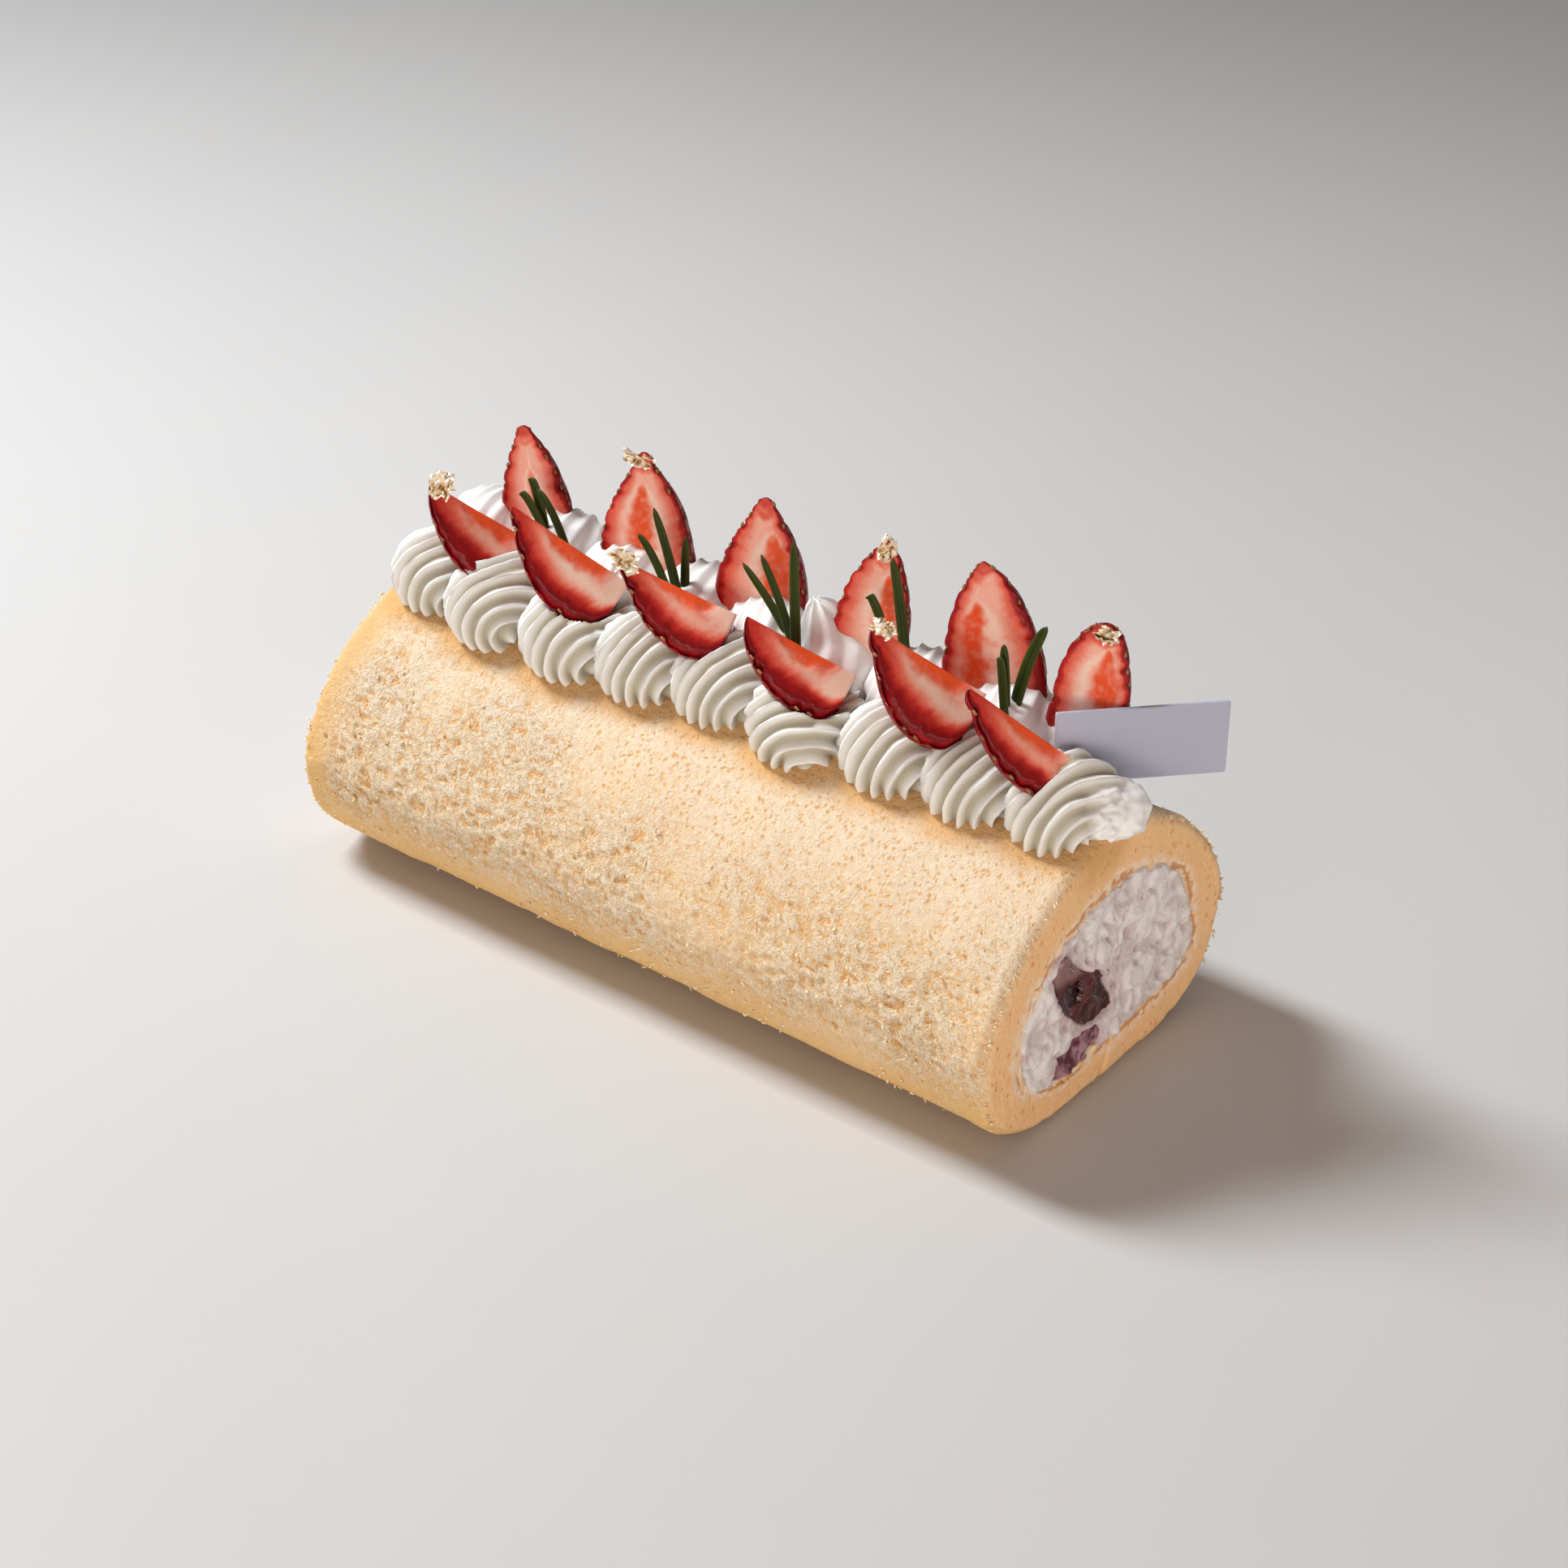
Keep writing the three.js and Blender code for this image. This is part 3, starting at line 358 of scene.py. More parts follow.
class Nodes:
    """A material, built by short calls that each give back a value. Sizes are in millimetres."""

    def __init__(self, name):
        self.material = bpy.data.materials.new(name)
        self.material.use_nodes = True
        self.tree = self.material.node_tree
        self.tree.nodes.clear()
        self.place = self.add("ShaderNodeTexCoord", {}, "Object")

    def add(self, kind, inputs, output=0, **settings):
        """Adds a node, and gives back one of its outputs."""
        node = self.tree.nodes.new(kind)
        for key, value in settings.items():
            setattr(node, key, value)
        for key, value in inputs.items():
            socket = node.inputs[key]
            if isinstance(value, Value):
                self.tree.links.new(value.socket, socket)
            else:
                socket.default_value = (*value, 1) if socket.type == "RGBA" else value
        return Value(self, node.outputs[output])

    def attributes(self, names):
        return [self.add("ShaderNodeAttribute", {}, "Fac", attribute_name=name)
                for name in names.split()]

    def texture(self, kind, size, output, inputs=(), **settings):
        inputs = {"Vector": self.place, "Scale": 1 / (size * MM), **dict(inputs)}
        return self.add(kind, inputs, output, **settings)

    def noise(self, size, detail=2.0, roughness=0.5):
        inputs = {"Detail": detail, "Roughness": roughness}
        return self.texture("ShaderNodeTexNoise", size, "Fac", inputs)

    def cells(self, size):
        return self.texture("ShaderNodeTexVoronoi", size, "Distance")

    def vector(self, operation, inputs):
        return self.add("ShaderNodeVectorMath", inputs, operation=operation)

    def warp(self, size, depth):
        """Moves the textures that follow, in waves of a size, by up to half of depth (mm)."""
        moves = self.texture("ShaderNodeTexNoise", size, "Color")
        moves = self.vector("SUBTRACT", {0: moves, 1: (0.5, 0.5, 0.5)})
        moves = self.vector("SCALE", {0: moves, "Scale": depth * MM})
        self.place = self.vector("ADD", {0: self.place, 1: moves})

    def math(self, operation, a, b=0.0):
        return self.add("ShaderNodeMath", {0: a, 1: b}, operation=operation)

    def span(self, value, low, high, to_low=0.0, to_high=1.0):
        """Goes smoothly from to_low, where value is low, to to_high, where it is high."""
        inputs = {"Value": value, "From Min": low, "From Max": high, "To Min": to_low,
                  "To Max": to_high}
        return self.add("ShaderNodeMapRange", inputs, interpolation_type="SMOOTHSTEP")

    def mix(self, share, a, b):
        return self.add("ShaderNodeMix", {0: share, 6: a, 7: b}, 2, data_type="RGBA")

    def paint(self, colour, *coats):
        """Puts coats, each a share and a colour, over a colour."""
        for share, coat in coats:
            colour = self.mix(share, colour, coat)
        return colour

    def ramp(self, value, stops):
        made = self.add("ShaderNodeValToRGB", {"Fac": value})
        ramp = made.socket.node.color_ramp
        while len(ramp.elements) < len(stops):
            ramp.elements.new(0.5)
        for element, (at, colour) in zip(ramp.elements, stops.items()):
            element.position = at
            element.color = (*colour, 1)
        return made

    def bump(self, height, depth, strength=1.0):
        inputs = {"Height": height, "Distance": depth * MM, "Strength": strength}
        return self.add("ShaderNodeBump", inputs)

    def finish(self, colour, roughness, normal=None, specular=0.5, scatter=None, metallic=0.0):
        """scatter is the share of light that sinks in, each colour's reach and the depth."""
        inputs = {"Base Color": colour, "Roughness": roughness, "Specular IOR Level": specular,
                  "Metallic": metallic}
        if normal:
            inputs["Normal"] = normal
        if scatter:
            weight, reach, depth = scatter
            inputs.update({"Subsurface Weight": weight, "Subsurface Radius": reach,
                           "Subsurface Scale": depth * MM})
        shader = self.add("ShaderNodeBsdfPrincipled", inputs)
        output = self.tree.nodes.new("ShaderNodeOutputMaterial")
        self.tree.links.new(shader.socket, output.inputs["Surface"])
        return self.material


def sponge_material():
    n = Nodes("sponge")
    relief, face, torn, inner = n.attributes("relief face torn inner")
    low, high, under = n.attributes("low high under")
    n.warp(1.2, 1.0)
    # Small open pores in the smooth skin, and curly shreds where it is torn.
    pore = n.span(n.cells(1.25), 0.5, 0.1) * n.span(n.noise(1.9, 1), 0.32, 0.58, 0.2, 1) * -0.8
    shred = n.span(abs(n.noise(1.0, 2.5, 0.6) - 0.5), 0.17, 0.0) - 0.45
    net = pore + torn * (shred - pore)
    fine = n.noise(0.6, 3, 0.65) - 0.5
    rough = 1.0 - n.math("MAXIMUM", face * 0.7, low * 0.6)
    height = (net * 0.46 + fine * 0.75) * rough + relief * 0.3 + 0.5
    # The colour follows the relief, darker and more orange in the pits and dips and paler on the
    # crests: painted shade and light of the relief, on the skin and on the cut end.
    crumb = n.ramp(height, {
        0.0: (0.76, 0.36, 0.11), 0.22: (0.82, 0.47, 0.19), 0.42: (0.83, 0.575, 0.325),
        0.6: (0.83, 0.65, 0.435), 0.9: (0.88, 0.765, 0.60),
    })
    cut = n.ramp(height, {
        0.0: (0.95, 0.42, 0.12), 0.28: (1.0, 0.53, 0.22), 0.5: (1.0, 0.625, 0.33),
        0.8: (1.0, 0.71, 0.43),
    })
    hollows_painted_light = n.span(height, 0.5, 0.3, 0.55, 0.08)
    slit = n.span(n.cells(2.2), 0.34, 0.10) * n.span(n.noise(2.6, 1), 0.44, 0.58) * face
    # Round the core the crumb is loose and pale, with a broken line of crust along the cream.
    waver = inner + (n.noise(3.2, 3, 0.6) - 0.5) * 5.0
    loose = n.span(waver, 5.5, 3.2) * n.span(n.noise(2.2, 2), 0.35, 0.55, 0.1, 0.85)
    crust = n.span(abs(waver - 2.0), 0.95, 0.35) * n.span(n.noise(7, 2), 0.42, 0.52)
    colour = n.paint(
        crumb,
        # Painted light: on the top the hollows are filled with a pale colour, so the top reads
        # lighter.
        (high * hollows_painted_light, (0.85, 0.755, 0.62)),
        (face, cut),
        # Painted shade in the slits of the end face.
        (slit * 0.85, (0.86, 0.35, 0.09)),
        # Darker and more orange towards the bottom and the left end: partly the smoother skin's own
        # tone, partly painted shade.
        (low * 0.8, (0.76, 0.445, 0.15)),
        # Painted shade below the swirls of cream.
        (under * 0.85, (0.72, 0.40, 0.15)),
        (n.span(n.noise(11, 3, 0.55), 0.45, 0.75, 0, 0.16), (0.88, 0.60, 0.28)),
        (loose, (1.0, 0.80, 0.62)),
        (crust * 0.75, (0.62, 0.25, 0.07)),
    )
    normal = n.bump((net * 0.7 + fine * 1.1) * rough - slit * 0.4, 0.46)
    return n.finish(colour, 0.9, normal, 0.1, (0.2, SPONGE_REACH, 1.1))


def crumb_material():
    n = Nodes("crumbs")
    colour = n.mix(n.noise(2.2, 1), (0.96, 0.80, 0.58), (0.93, 0.66, 0.33))
    return n.finish(colour, 0.9, n.bump(n.noise(0.4, 2), 0.08), 0.1, (0.3, SPONGE_REACH, 1.0))


def cream_material():
    n = Nodes("cream")
    valley, white = n.attributes("valley white")
    # Painted shade in the valleys between the ridges; white is painted light on the back row, and also
    # whitens the wiped part of the smeared swirl.
    colour = n.mix(n.span(valley, 0.05, 0.85), (0.86, 0.87, 0.855), (0.51, 0.475, 0.375))
    colour = n.mix(white, colour, (0.95, 0.97, 0.985))
    normal = n.bump(n.noise(0.9, 3, 0.6), 0.05, 0.5)
    return n.finish(colour, 0.42, normal, 0.25, (0.08, (1.0, 0.9, 0.75), 0.6))


def filling_material():
    n = Nodes("filling_cream")
    hole, stain = n.attributes("hole stain")
    mottle = n.span(n.noise(1.2, 3, 0.6), 0.35, 0.7)
    colour = n.paint(
        n.mix(mottle, (0.97, 0.94, 0.94), (0.91, 0.87, 0.88)),
        # Painted shade in the holes and deep dips of the torn cream.
        (hole * 0.65, (0.60, 0.44, 0.40)),
        (stain * 0.5, (0.55, 0.27, 0.36)),
    )
    normal = n.bump(n.noise(0.9, 4, 0.7), 0.5)
    return n.finish(colour, 0.5, normal, 0.25, (0.25, (1.0, 0.85, 0.8), 0.9))


def fruit_material():
    n = Nodes("fruit")
    haze, cell, blue = n.attributes("haze cell blue")
    colour = n.paint(
        n.mix(cell, (0.020, 0.003, 0.006), (0.11, 0.008, 0.014)),
        (n.span(n.noise(1.6, 3), 0.55, 0.75, 0, 0.5), (0.20, 0.02, 0.025)),
        (haze, (0.34, 0.20, 0.19)),
        (blue, (0.07, 0.05, 0.08)),
    )
    normal = n.bump(n.noise(0.9, 2), 0.12, 0.5)
    return n.finish(colour, 0.14, normal, 0.55, (0.05, (1.0, 0.2, 0.2), 1.0))


def jam_material():
    n = Nodes("jam")
    colour = n.mix(n.span(n.noise(3.4, 2), 0.38, 0.62), (0.11, 0.025, 0.05), (0.46, 0.25, 0.32))
    normal = n.bump(n.noise(1.8, 2), 0.2, 0.5)
    return n.finish(colour, 0.25, normal, 0.4, (0.3, (1.0, 0.4, 0.6), 1.5))


def berry_material():
    n = Nodes("strawberry")
    red, core, skin, pit = n.attributes("red core skin pit")
    fibre = n.noise(0.7, 2, 0.55) - 0.5
    flesh = n.ramp(red + fibre * 0.13, {
        0.0: (0.97, 0.70, 0.58), 0.2: (0.92, 0.42, 0.32), 0.4: (0.83, 0.17, 0.11),
        0.6: (0.58, 0.035, 0.024), 0.8: (0.30, 0.008, 0.010), 1.0: (0.15, 0.003, 0.007),
    })
    warm = core * n.span(n.noise(1.6, 3, 0.6), 0.25, 0.6, 0.6, 1.0)
    outer = n.paint(
        n.mix(n.span(n.noise(2.5, 2), 0.3, 0.7), (0.18, 0.003, 0.007), (0.38, 0.008, 0.012)),
        # Painted shade in the seed pits of the skin.
        (pit * 0.7, (0.09, 0.002, 0.005)),
    )
    colour = n.paint(flesh, (warm, (0.86, 0.10, 0.022)), (skin, outer))
    normal = n.bump(n.noise(0.7, 3, 0.6), 0.12, 0.5)
    return n.finish(colour, 0.27, normal, 0.22, (0.1, (1.0, 0.25, 0.15), 0.8))


def seed_material():
    n = Nodes("seed")
    colour = n.mix(n.noise(1.3, 2), (0.13, 0.035, 0.01), (0.52, 0.26, 0.065))
    return n.finish(colour, 0.4, n.bump(n.noise(0.3, 1), 0.03))


def gold_material():
    n = Nodes("gold_leaf")
    (fold,) = n.attributes("fold")
    # Painted highlights and shade: patches from dark brown to near white stand in for the leaf's
    # reflections.
    colour = n.ramp(fold, {
        0.0: (0.22, 0.12, 0.045), 0.18: (0.80, 0.58, 0.32), 0.42: (1.0, 0.89, 0.70),
        0.75: (1.0, 0.98, 0.92),
    })
    return n.finish(colour, 0.24, n.bump(n.noise(0.6, 2, 0.6), 0.10, 0.6), metallic=0.4)


def needle_material():
    n = Nodes("rosemary")
    across, along = n.attributes("across along")
    colour = n.paint(
        n.mix(n.noise(1.5, 2), (0.027, 0.045, 0.006), (0.048, 0.068, 0.011)),
        (n.span(across, 0.78, 1.0, 0, 0.6), (0.10, 0.12, 0.045)),
        # Painted shade along the groove in the middle of each face.
        (n.span(across, 0.16, 0.02, 0, 0.8), (0.014, 0.024, 0.006)),
        (n.span(along, 0.96, 1.0), (0.10, 0.07, 0.03)),
    )
    return n.finish(colour, 0.45, n.bump(n.noise(0.5, 3), 0.06, 0.6), 0.12)


def plaque_material():
    n = Nodes("plaque")
    # Painted shade: a white plaque, coloured grey-lavender as it looks in shade.
    colour = n.mix(n.noise(7, 2), (0.46, 0.485, 0.61), (0.43, 0.455, 0.58))
    return n.finish(colour, 0.32, n.bump(n.noise(2.5, 2), 0.02, 0.3), scatter=(0.2, (1, 1, 1), 1.0))


# ---- the sponge


def roll_outline(count):
    """The outside of the roll in (y, z), from the seam under it anticlockwise round to the seam."""
    t = np.linspace(0, math.pi / 2, 400)
    lower, upper = 2 / FOOT_POWER, 2 / CROWN_POWER
    flank = np.stack([FLAT_HALF + (HALF_WIDTH - FLAT_HALF) * np.sin(t) ** lower,
                      WIDEST_AT - WIDEST_AT * np.cos(t) ** lower], -1)
    crown = np.stack([HALF_WIDTH * np.cos(t) ** upper,
                      WIDEST_AT + (ROLL_HEIGHT - WIDEST_AT) * np.sin(t) ** upper], -1)
    right = np.vstack([flank, crown[1:]])
    return resample(np.vstack([SEAM[-1], right, right[-2::-1] * (-1, 1), SEAM[-1]]), count)


def at_end(place, x):
    """Places in (y, z) as points at x."""
    return np.column_stack([np.full(len(place), float(x)), place])


def wavy_core(count, start, waves):
    """The core's outline, moved out by start and by waves, each a depth, a size and a seed."""
    core = rounded(CORE_OUTLINE, count)
    flat = at_end(core, 0)
    out = sum((depth * noise(flat, size, seed) for depth, size, seed in waves), start)
    return core + unit(core - core.mean(0)) * out[:, None]


def core_from_seam(count):
    """The core's wavy outline, from the seam round in the same direction as the outside."""
    core = wavy_core(600, 0, [(0.8, 4.5, 15), (0.3, 1.8, 16)])
    core = np.roll(core, -np.argmin(np.linalg.norm(core - SEAM[0], axis=1)), 0)
    return resample(np.vstack([core, core[:1]]), count)


def sponge_relief(points, face, low):
    """How far each point stands out, the share of that which shows as colour, as painted shade in the
    dips and painted light on the crests, and how torn the skin is there."""
    rough = (1 - 0.75 * face) * (1 - 0.7 * low)
    lumps = 0.35 * noise(points, 14, 1) + 0.22 * noise(points, 6, 2)
    torn = smooth(52, 34, points[:, 2]) * 0.75 + smooth(10, -60, points[:, 0]) * 0.45
    torn = np.clip(torn + 0.45 * noise(points, 15, 23), 0.08, 1)
    near, _ = scattered(points, 1.7, 3)
    net = smooth(0.12, 0.6, near) - 0.6
    bent = shaken(points, 2.4, 0.9, 24)
    shreds = 0.62 - 2.0 * np.abs(noise(bent, (2.3, 1.5, 1.5), 21)) + 0.45 * noise(points, 0.9, 22)
    fine = 0.22 * net * (1 - torn) + 0.4 * shreds * torn
    wide, luck = scattered(points, 4.6, 11)
    pore = -smooth(1.0, 0.35, wide / (0.08 + 0.16 * luck)) * (luck < 0.42)
    slit, luck = scattered(points * (1, 0.7, 1), 5.5, 12)
    slit = -smooth(1.0, 0.3, slit / (0.08 + 0.12 * luck)) * (luck < 0.5) * face
    height = lumps * (1 - 0.5 * face) + rough * fine + (pore * (1 - 0.4 * face) + slit) * 0.75
    return height, rough * fine / 0.38 + (pore + slit) * 1.1, torn


def sponge_sheet(first, last, rows):
    """A length of the sponge's section from one share of its outline to another, as a sheet that
    runs from the core over the end face, along the roll and back into the core: its points, the
    way out of the roll there, the distances to the core and to the skin, and its faces."""
    steps = round(rows / (last - first))
    used = slice(round(first * steps), round(last * steps) + 1)
    outer, inner = roll_outline(steps + 1)[used], core_from_seam(steps + 1)[used]
    wall = np.linalg.norm(outer - inner, axis=1)[:, None]
    # The path across one end: share of the way from the core to the skin, and depth from the end.
    turn = np.linspace(0, math.pi / 2, 8)[1:]
    share = np.concatenate([np.zeros(3), np.linspace(0, 1, FACE_STEPS)])
    depth = np.concatenate([[6, 1.2, 0.35], np.zeros(FACE_STEPS), RIM * (1 - np.cos(turn))])
    path = np.hstack([share * (wall - RIM) / wall, (wall - RIM + RIM * np.sin(turn)) / wall])
    along = np.linspace(RIM, 2 * HALF_LENGTH - RIM, SPONGE_STATIONS)[1:-1]
    path = np.hstack([path, np.ones((len(outer), len(along))), path[:, ::-1]])
    x = np.concatenate([depth - HALF_LENGTH, along - HALF_LENGTH, HALF_LENGTH - depth[::-1]])
    section = inner[:, None, :] + (outer - inner)[:, None, :] * path[..., None]
    points = np.column_stack([np.tile(x, len(outer)), section.reshape(-1, 2)])
    tangent = np.gradient(outer, axis=0)
    out = unit(np.stack([tangent[:, 1], -tangent[:, 0]], -1))
    wall = np.repeat(wall, len(x))
    from_core = path.ravel() * wall
    faces = grid_faces(len(outer), len(x))
    return points, np.repeat(out, len(x), 0), from_core, wall - from_core, faces


def sponge(name, first, last, rows, material):
    points, out, from_core, to_skin, faces = sponge_sheet(first, last, rows)
    x, z = points[:, 0], points[:, 2]
    from_end = HALF_LENGTH - np.abs(x)
    past = smooth(RIM * 1.6, 0, from_end)
    face = past * smooth(0, RIM * 1.1, to_skin)
    normal = unit(np.column_stack([np.sign(x) * past, out * (1 - face)[:, None]]) + 1e-9)
    # low marks the bottom and the left end, where the skin is smoother and painted shade darkens it.
    low = smooth(24, 9, z + 3.5 * noise(points, 9, 13))
    low = np.maximum(low, 0.9 * smooth(-78, -90, x + 3 * noise(points, 8, 17))) * (1 - face)
    # high marks the top of the roll, which painted light makes paler.
    high = smooth(34, 52, z + 3 * noise(points, 16, 18)) * (1 - face)
    height, painted_relief_shade, torn = sponge_relief(points, face, low)
    loose = face * smooth(3.8, 1.0, from_core)
    height = height + loose * (0.5 * noise(points, 1.6, 14) - 0.35)
    height = np.where((from_core < 0.01) & (from_end > 0.3), 0, height)
    # The crease where the two ends of the sheet meet.
    crease = segment_distance(points[:, 1:], SEAM[:-1], SEAM[1:])
    height = height - 1.3 * smooth(0.8, 0.1, crease) * np.maximum(face, low)
    moved = points + normal * (np.minimum(height, 0.6) - 0.2)[:, None]
    moved[:, 2] = np.maximum(moved[:, 2], 0)
    # Painted shade on the sponge where the cream is near, for the shadow under the swirls.
    under = np.zeros(len(points))
    wobbled = shaken(points, 3, 0.8, 61)
    for spec in swirl_specs():
        gap = np.linalg.norm((wobbled - spec["centre"]) / SWIRL_AXES / spec["size"], axis=1)
        under = np.maximum(under, smooth(1.6, 1.02, gap))
    inner = np.where(face > 0.5, from_core, 9.0)
    return piece(name, moved, [faces], material, "sponge", ["sponge"], relief=painted_relief_shade, face=face,
                 inner=inner, low=low, high=high, torn=torn * (1 - face), under=under)


def crumbs(material):
    """Loose crumbs and shreds, on the torn parts of the skin and along the rims of both ends."""
    rng = np.random.default_rng(5)
    share = rng.random(CRUMBS)
    x = (rng.random(CRUMBS) * 2 - 1) * (HALF_LENGTH - 0.5)
    at_rim = rng.random(CRUMBS) < 0.22
    x = np.where(at_rim, np.sign(x) * (HALF_LENGTH - 0.4 - 1.6 * rng.random(CRUMBS)), x)
    place = roll_outline(600)[(share * 599).astype(int)]
    out = unit(place - (0, WIDEST_AT))
    points = np.column_stack([x, place - out * np.where(at_rim, 0.9, 0.1)[:, None]])
    height = place[:, 1]
    wanted = 0.5 * noise(points, 15, 23) + smooth(54, 30, height) * 0.6 + at_rim * 0.4
    keep = (wanted > 0.25) & (height > 8) & (height < 56)
    ball, tris = oval(5, 2)
    made = []
    for point, way in zip(points[keep], at_end(out[keep], 0)):
        axes = unit(rng.normal(size=(3, 3))) * (0.3 * rng.random(3) + (0.12, 0.16, 0.4))[:, None]
        bumpy = ball * (0.8 + 0.4 * rng.random((len(ball), 1)))
        made.append(bumpy @ axes + point + way * 0.15 * rng.random())
    points, faces = together(made, tris)
    points[:, 2] = np.maximum(points[:, 2], 0.05)
    return piece("crumbs", points, faces, material, "sponge")


# ---- the fillings


def plug(name, outline, rings, relief, material, slot):
    """A solid that runs through the roll, with relief on both ends. relief gives, for places in
    (y, z) and a side, how far the face stands out, and the attributes there."""
    middle, count = outline.mean(0), len(outline)
    share = np.linspace(1, 0, rings + 1)[:-1]
    place = middle + (outline - middle) * share[:, None, None]
    place = np.vstack([place.reshape(-1, 2), middle])
    points, faces, values = [], [], []
    for side, base in ((-1, 0), (1, len(place))):
        height, attributes = relief(place, side)
        points.append(np.column_stack([side * (HALF_LENGTH + height), place]))
        values.append(attributes)
        centre = base + rings * count
        faces.append((grid_faces(rings, count) + base)[:, ::-side])
        faces.append(fan(centre, centre - count + np.arange(count))[:, ::side])
    near = np.arange(count)
    after, far = np.roll(near, -1), len(place)
    faces.append(np.stack([near + far, after + far, after, near], -1))
    merged = {key: np.concatenate([v[key] for v in values]) for key in values[0]}
    return piece(name, np.vstack(points), faces, material, slot, [name], **merged)


def filling_relief(place, side):
    points = at_end(place, side * 40)
    fruit, jam, edge = (outline_distance(place, rounded(outline, count)) for outline, count in (
        (FRUIT_OUTLINE, 60), (JAM_OUTLINE, 40), (CORE_OUTLINE, 90)))
    near, luck = scattered(points, 3.0, 31)
    hole = smooth(0.36, 0.14, near) * (luck < 0.55)
    bent = shaken(points, 4, 1.6, 36)
    torn = 0.7 * noise(points, 6, 32) + 1.6 * np.abs(noise(bent, 3.6, 33))
    torn = torn + 0.6 * np.abs(noise(bent, 1.5, 34)) - 0.8
    height = np.where(edge > -0.9, np.maximum(torn, 0) + 0.15, torn - 1.3 * hole)
    beside = np.minimum(fruit, jam)
    height -= 3.0 * smooth(0.5, -0.6, beside)
    stain = smooth(3.2, 0.0, beside + 1.8 * noise(points, 2.5, 35)) * 0.8
    stain = np.maximum(stain, smooth(0.55, 0.75, noise(points, 3.1, 39)) * 0.5)
    # dark is painted shade in the holes and in the deep dips of the torn cream.
    dark = np.clip(hole + 0.6 * smooth(-0.1, -0.5, torn), 0, 1)
    return height, {"hole": dark, "stain": stain}


def fruit_relief(place, side):
    points, (y, z) = at_end(place, side * 30), place.T
    (_, luck), (_, tilt) = scattered(points, 5.0, 41), scattered(points, 5.0, 42)
    facet = (luck - 0.5) * 1.2 + (tilt - 0.5) * 0.5
    upper = smooth(30.5, 33.0, z + 0.5 * noise(points, 3, 43))
    blue = smooth(-12.5, -15.5, y + 0.8 * noise(points, 2, 45)) * smooth(30, 27, z)
    height = -0.5 + facet * 0.9 + 0.25 * noise(points, 1.6, 44) + 0.5 * upper
    return height, {"haze": upper * 0.8, "cell": luck, "blue": blue * 0.8}


def jam_relief(place, side):
    points = at_end(place, side * 20)
    return -0.5 + 0.6 * noise(points, 2.5, 51) + 0.3 * noise(points, 1.1, 52), {}


# ---- piped cream


def swirl_specs():
    specs = []
    for row_name, side, y, z, fineness, depth, shade, white, row in ROWS:
        flip = np.array([1, -side, 1])
        for number, (x, offset, size, turn) in enumerate(row, 1):
            name = f"swirl_{row_name}_{number}"
            a = math.radians(turn) * -side
            spin = np.array([[math.cos(a), -math.sin(a), 0], [math.sin(a), math.cos(a), 0], [0, 0, 1]])
            specs.append({
                "name": name,
                "seed": 100 + len(specs),
                "centre": np.array([x, y + offset, z]),
                "size": size,
                "pole": spin @ unit(ODD_POLES.get(name, FRONT_POLE) * flip),
                "tail": 0 if name in TAILLESS else TAIL,
                "tail_direction": unit(TAIL_DIRECTION * flip),
                "rings": round(104 * fineness),
                "columns": round(92 * fineness),
                "depth": depth,
                "shade": shade,
                "white": white,
            })
    return specs


def neighbours(grid):
    """The eight neighbours of each place in a grid whose last column meets the first."""
    rows, columns = grid.shape
    padded = np.pad(np.pad(grid, ((1, 1), (0, 0)), "edge"), ((0, 0), (1, 1)), "wrap")
    places = [(r, c) for r in range(3) for c in range(3) if (r, c) != (1, 1)]
    return np.array([padded[r:r + rows, c:c + columns] for r, c in places])


def without_dents(free, pressed):
    """Fills the small dents of a pressed surface, where few of a point's neighbours are low."""
    for _ in range(3):
        low = free - pressed > 0.3
        lone = low & (neighbours(low).sum(0) <= 4)
        filled = np.maximum(pressed, np.median(neighbours(pressed), axis=0))
        pressed = np.where(lone, filled, pressed)
    return pressed


def pressed_in(reach, direction, spec, obstacles):
    """How far the cream reaches in each direction once what lies on it presses it in, which it
    doesn't where the cream comes out beyond it."""
    centre = Vector(spec["centre"])
    free = reach.copy()
    for tree, base in obstacles:
        if tree.find_nearest(centre, 16)[0] is None:
            continue
        laps = abs(base - centre.x) < 4
        for k, out in enumerate(map(Vector, direction)):
            place, _, _, depth = tree.ray_cast(centre, out, float(reach[k]))
            if place is None:
                continue
            beyond = tree.ray_cast(place + out * 0.02, out)[3] if laps else None
            if beyond is not None and reach[k] > depth + beyond:
                reach[k] = max(reach[k], depth + beyond + 0.5)
            else:
                reach[k] = max(1.0, depth - 0.05)
    shape = spec["rings"], spec["columns"]
    inner = slice(1, -1)
    reach[inner] = without_dents(free[inner].reshape(shape), reach[inner].reshape(shape)).ravel()
    return reach


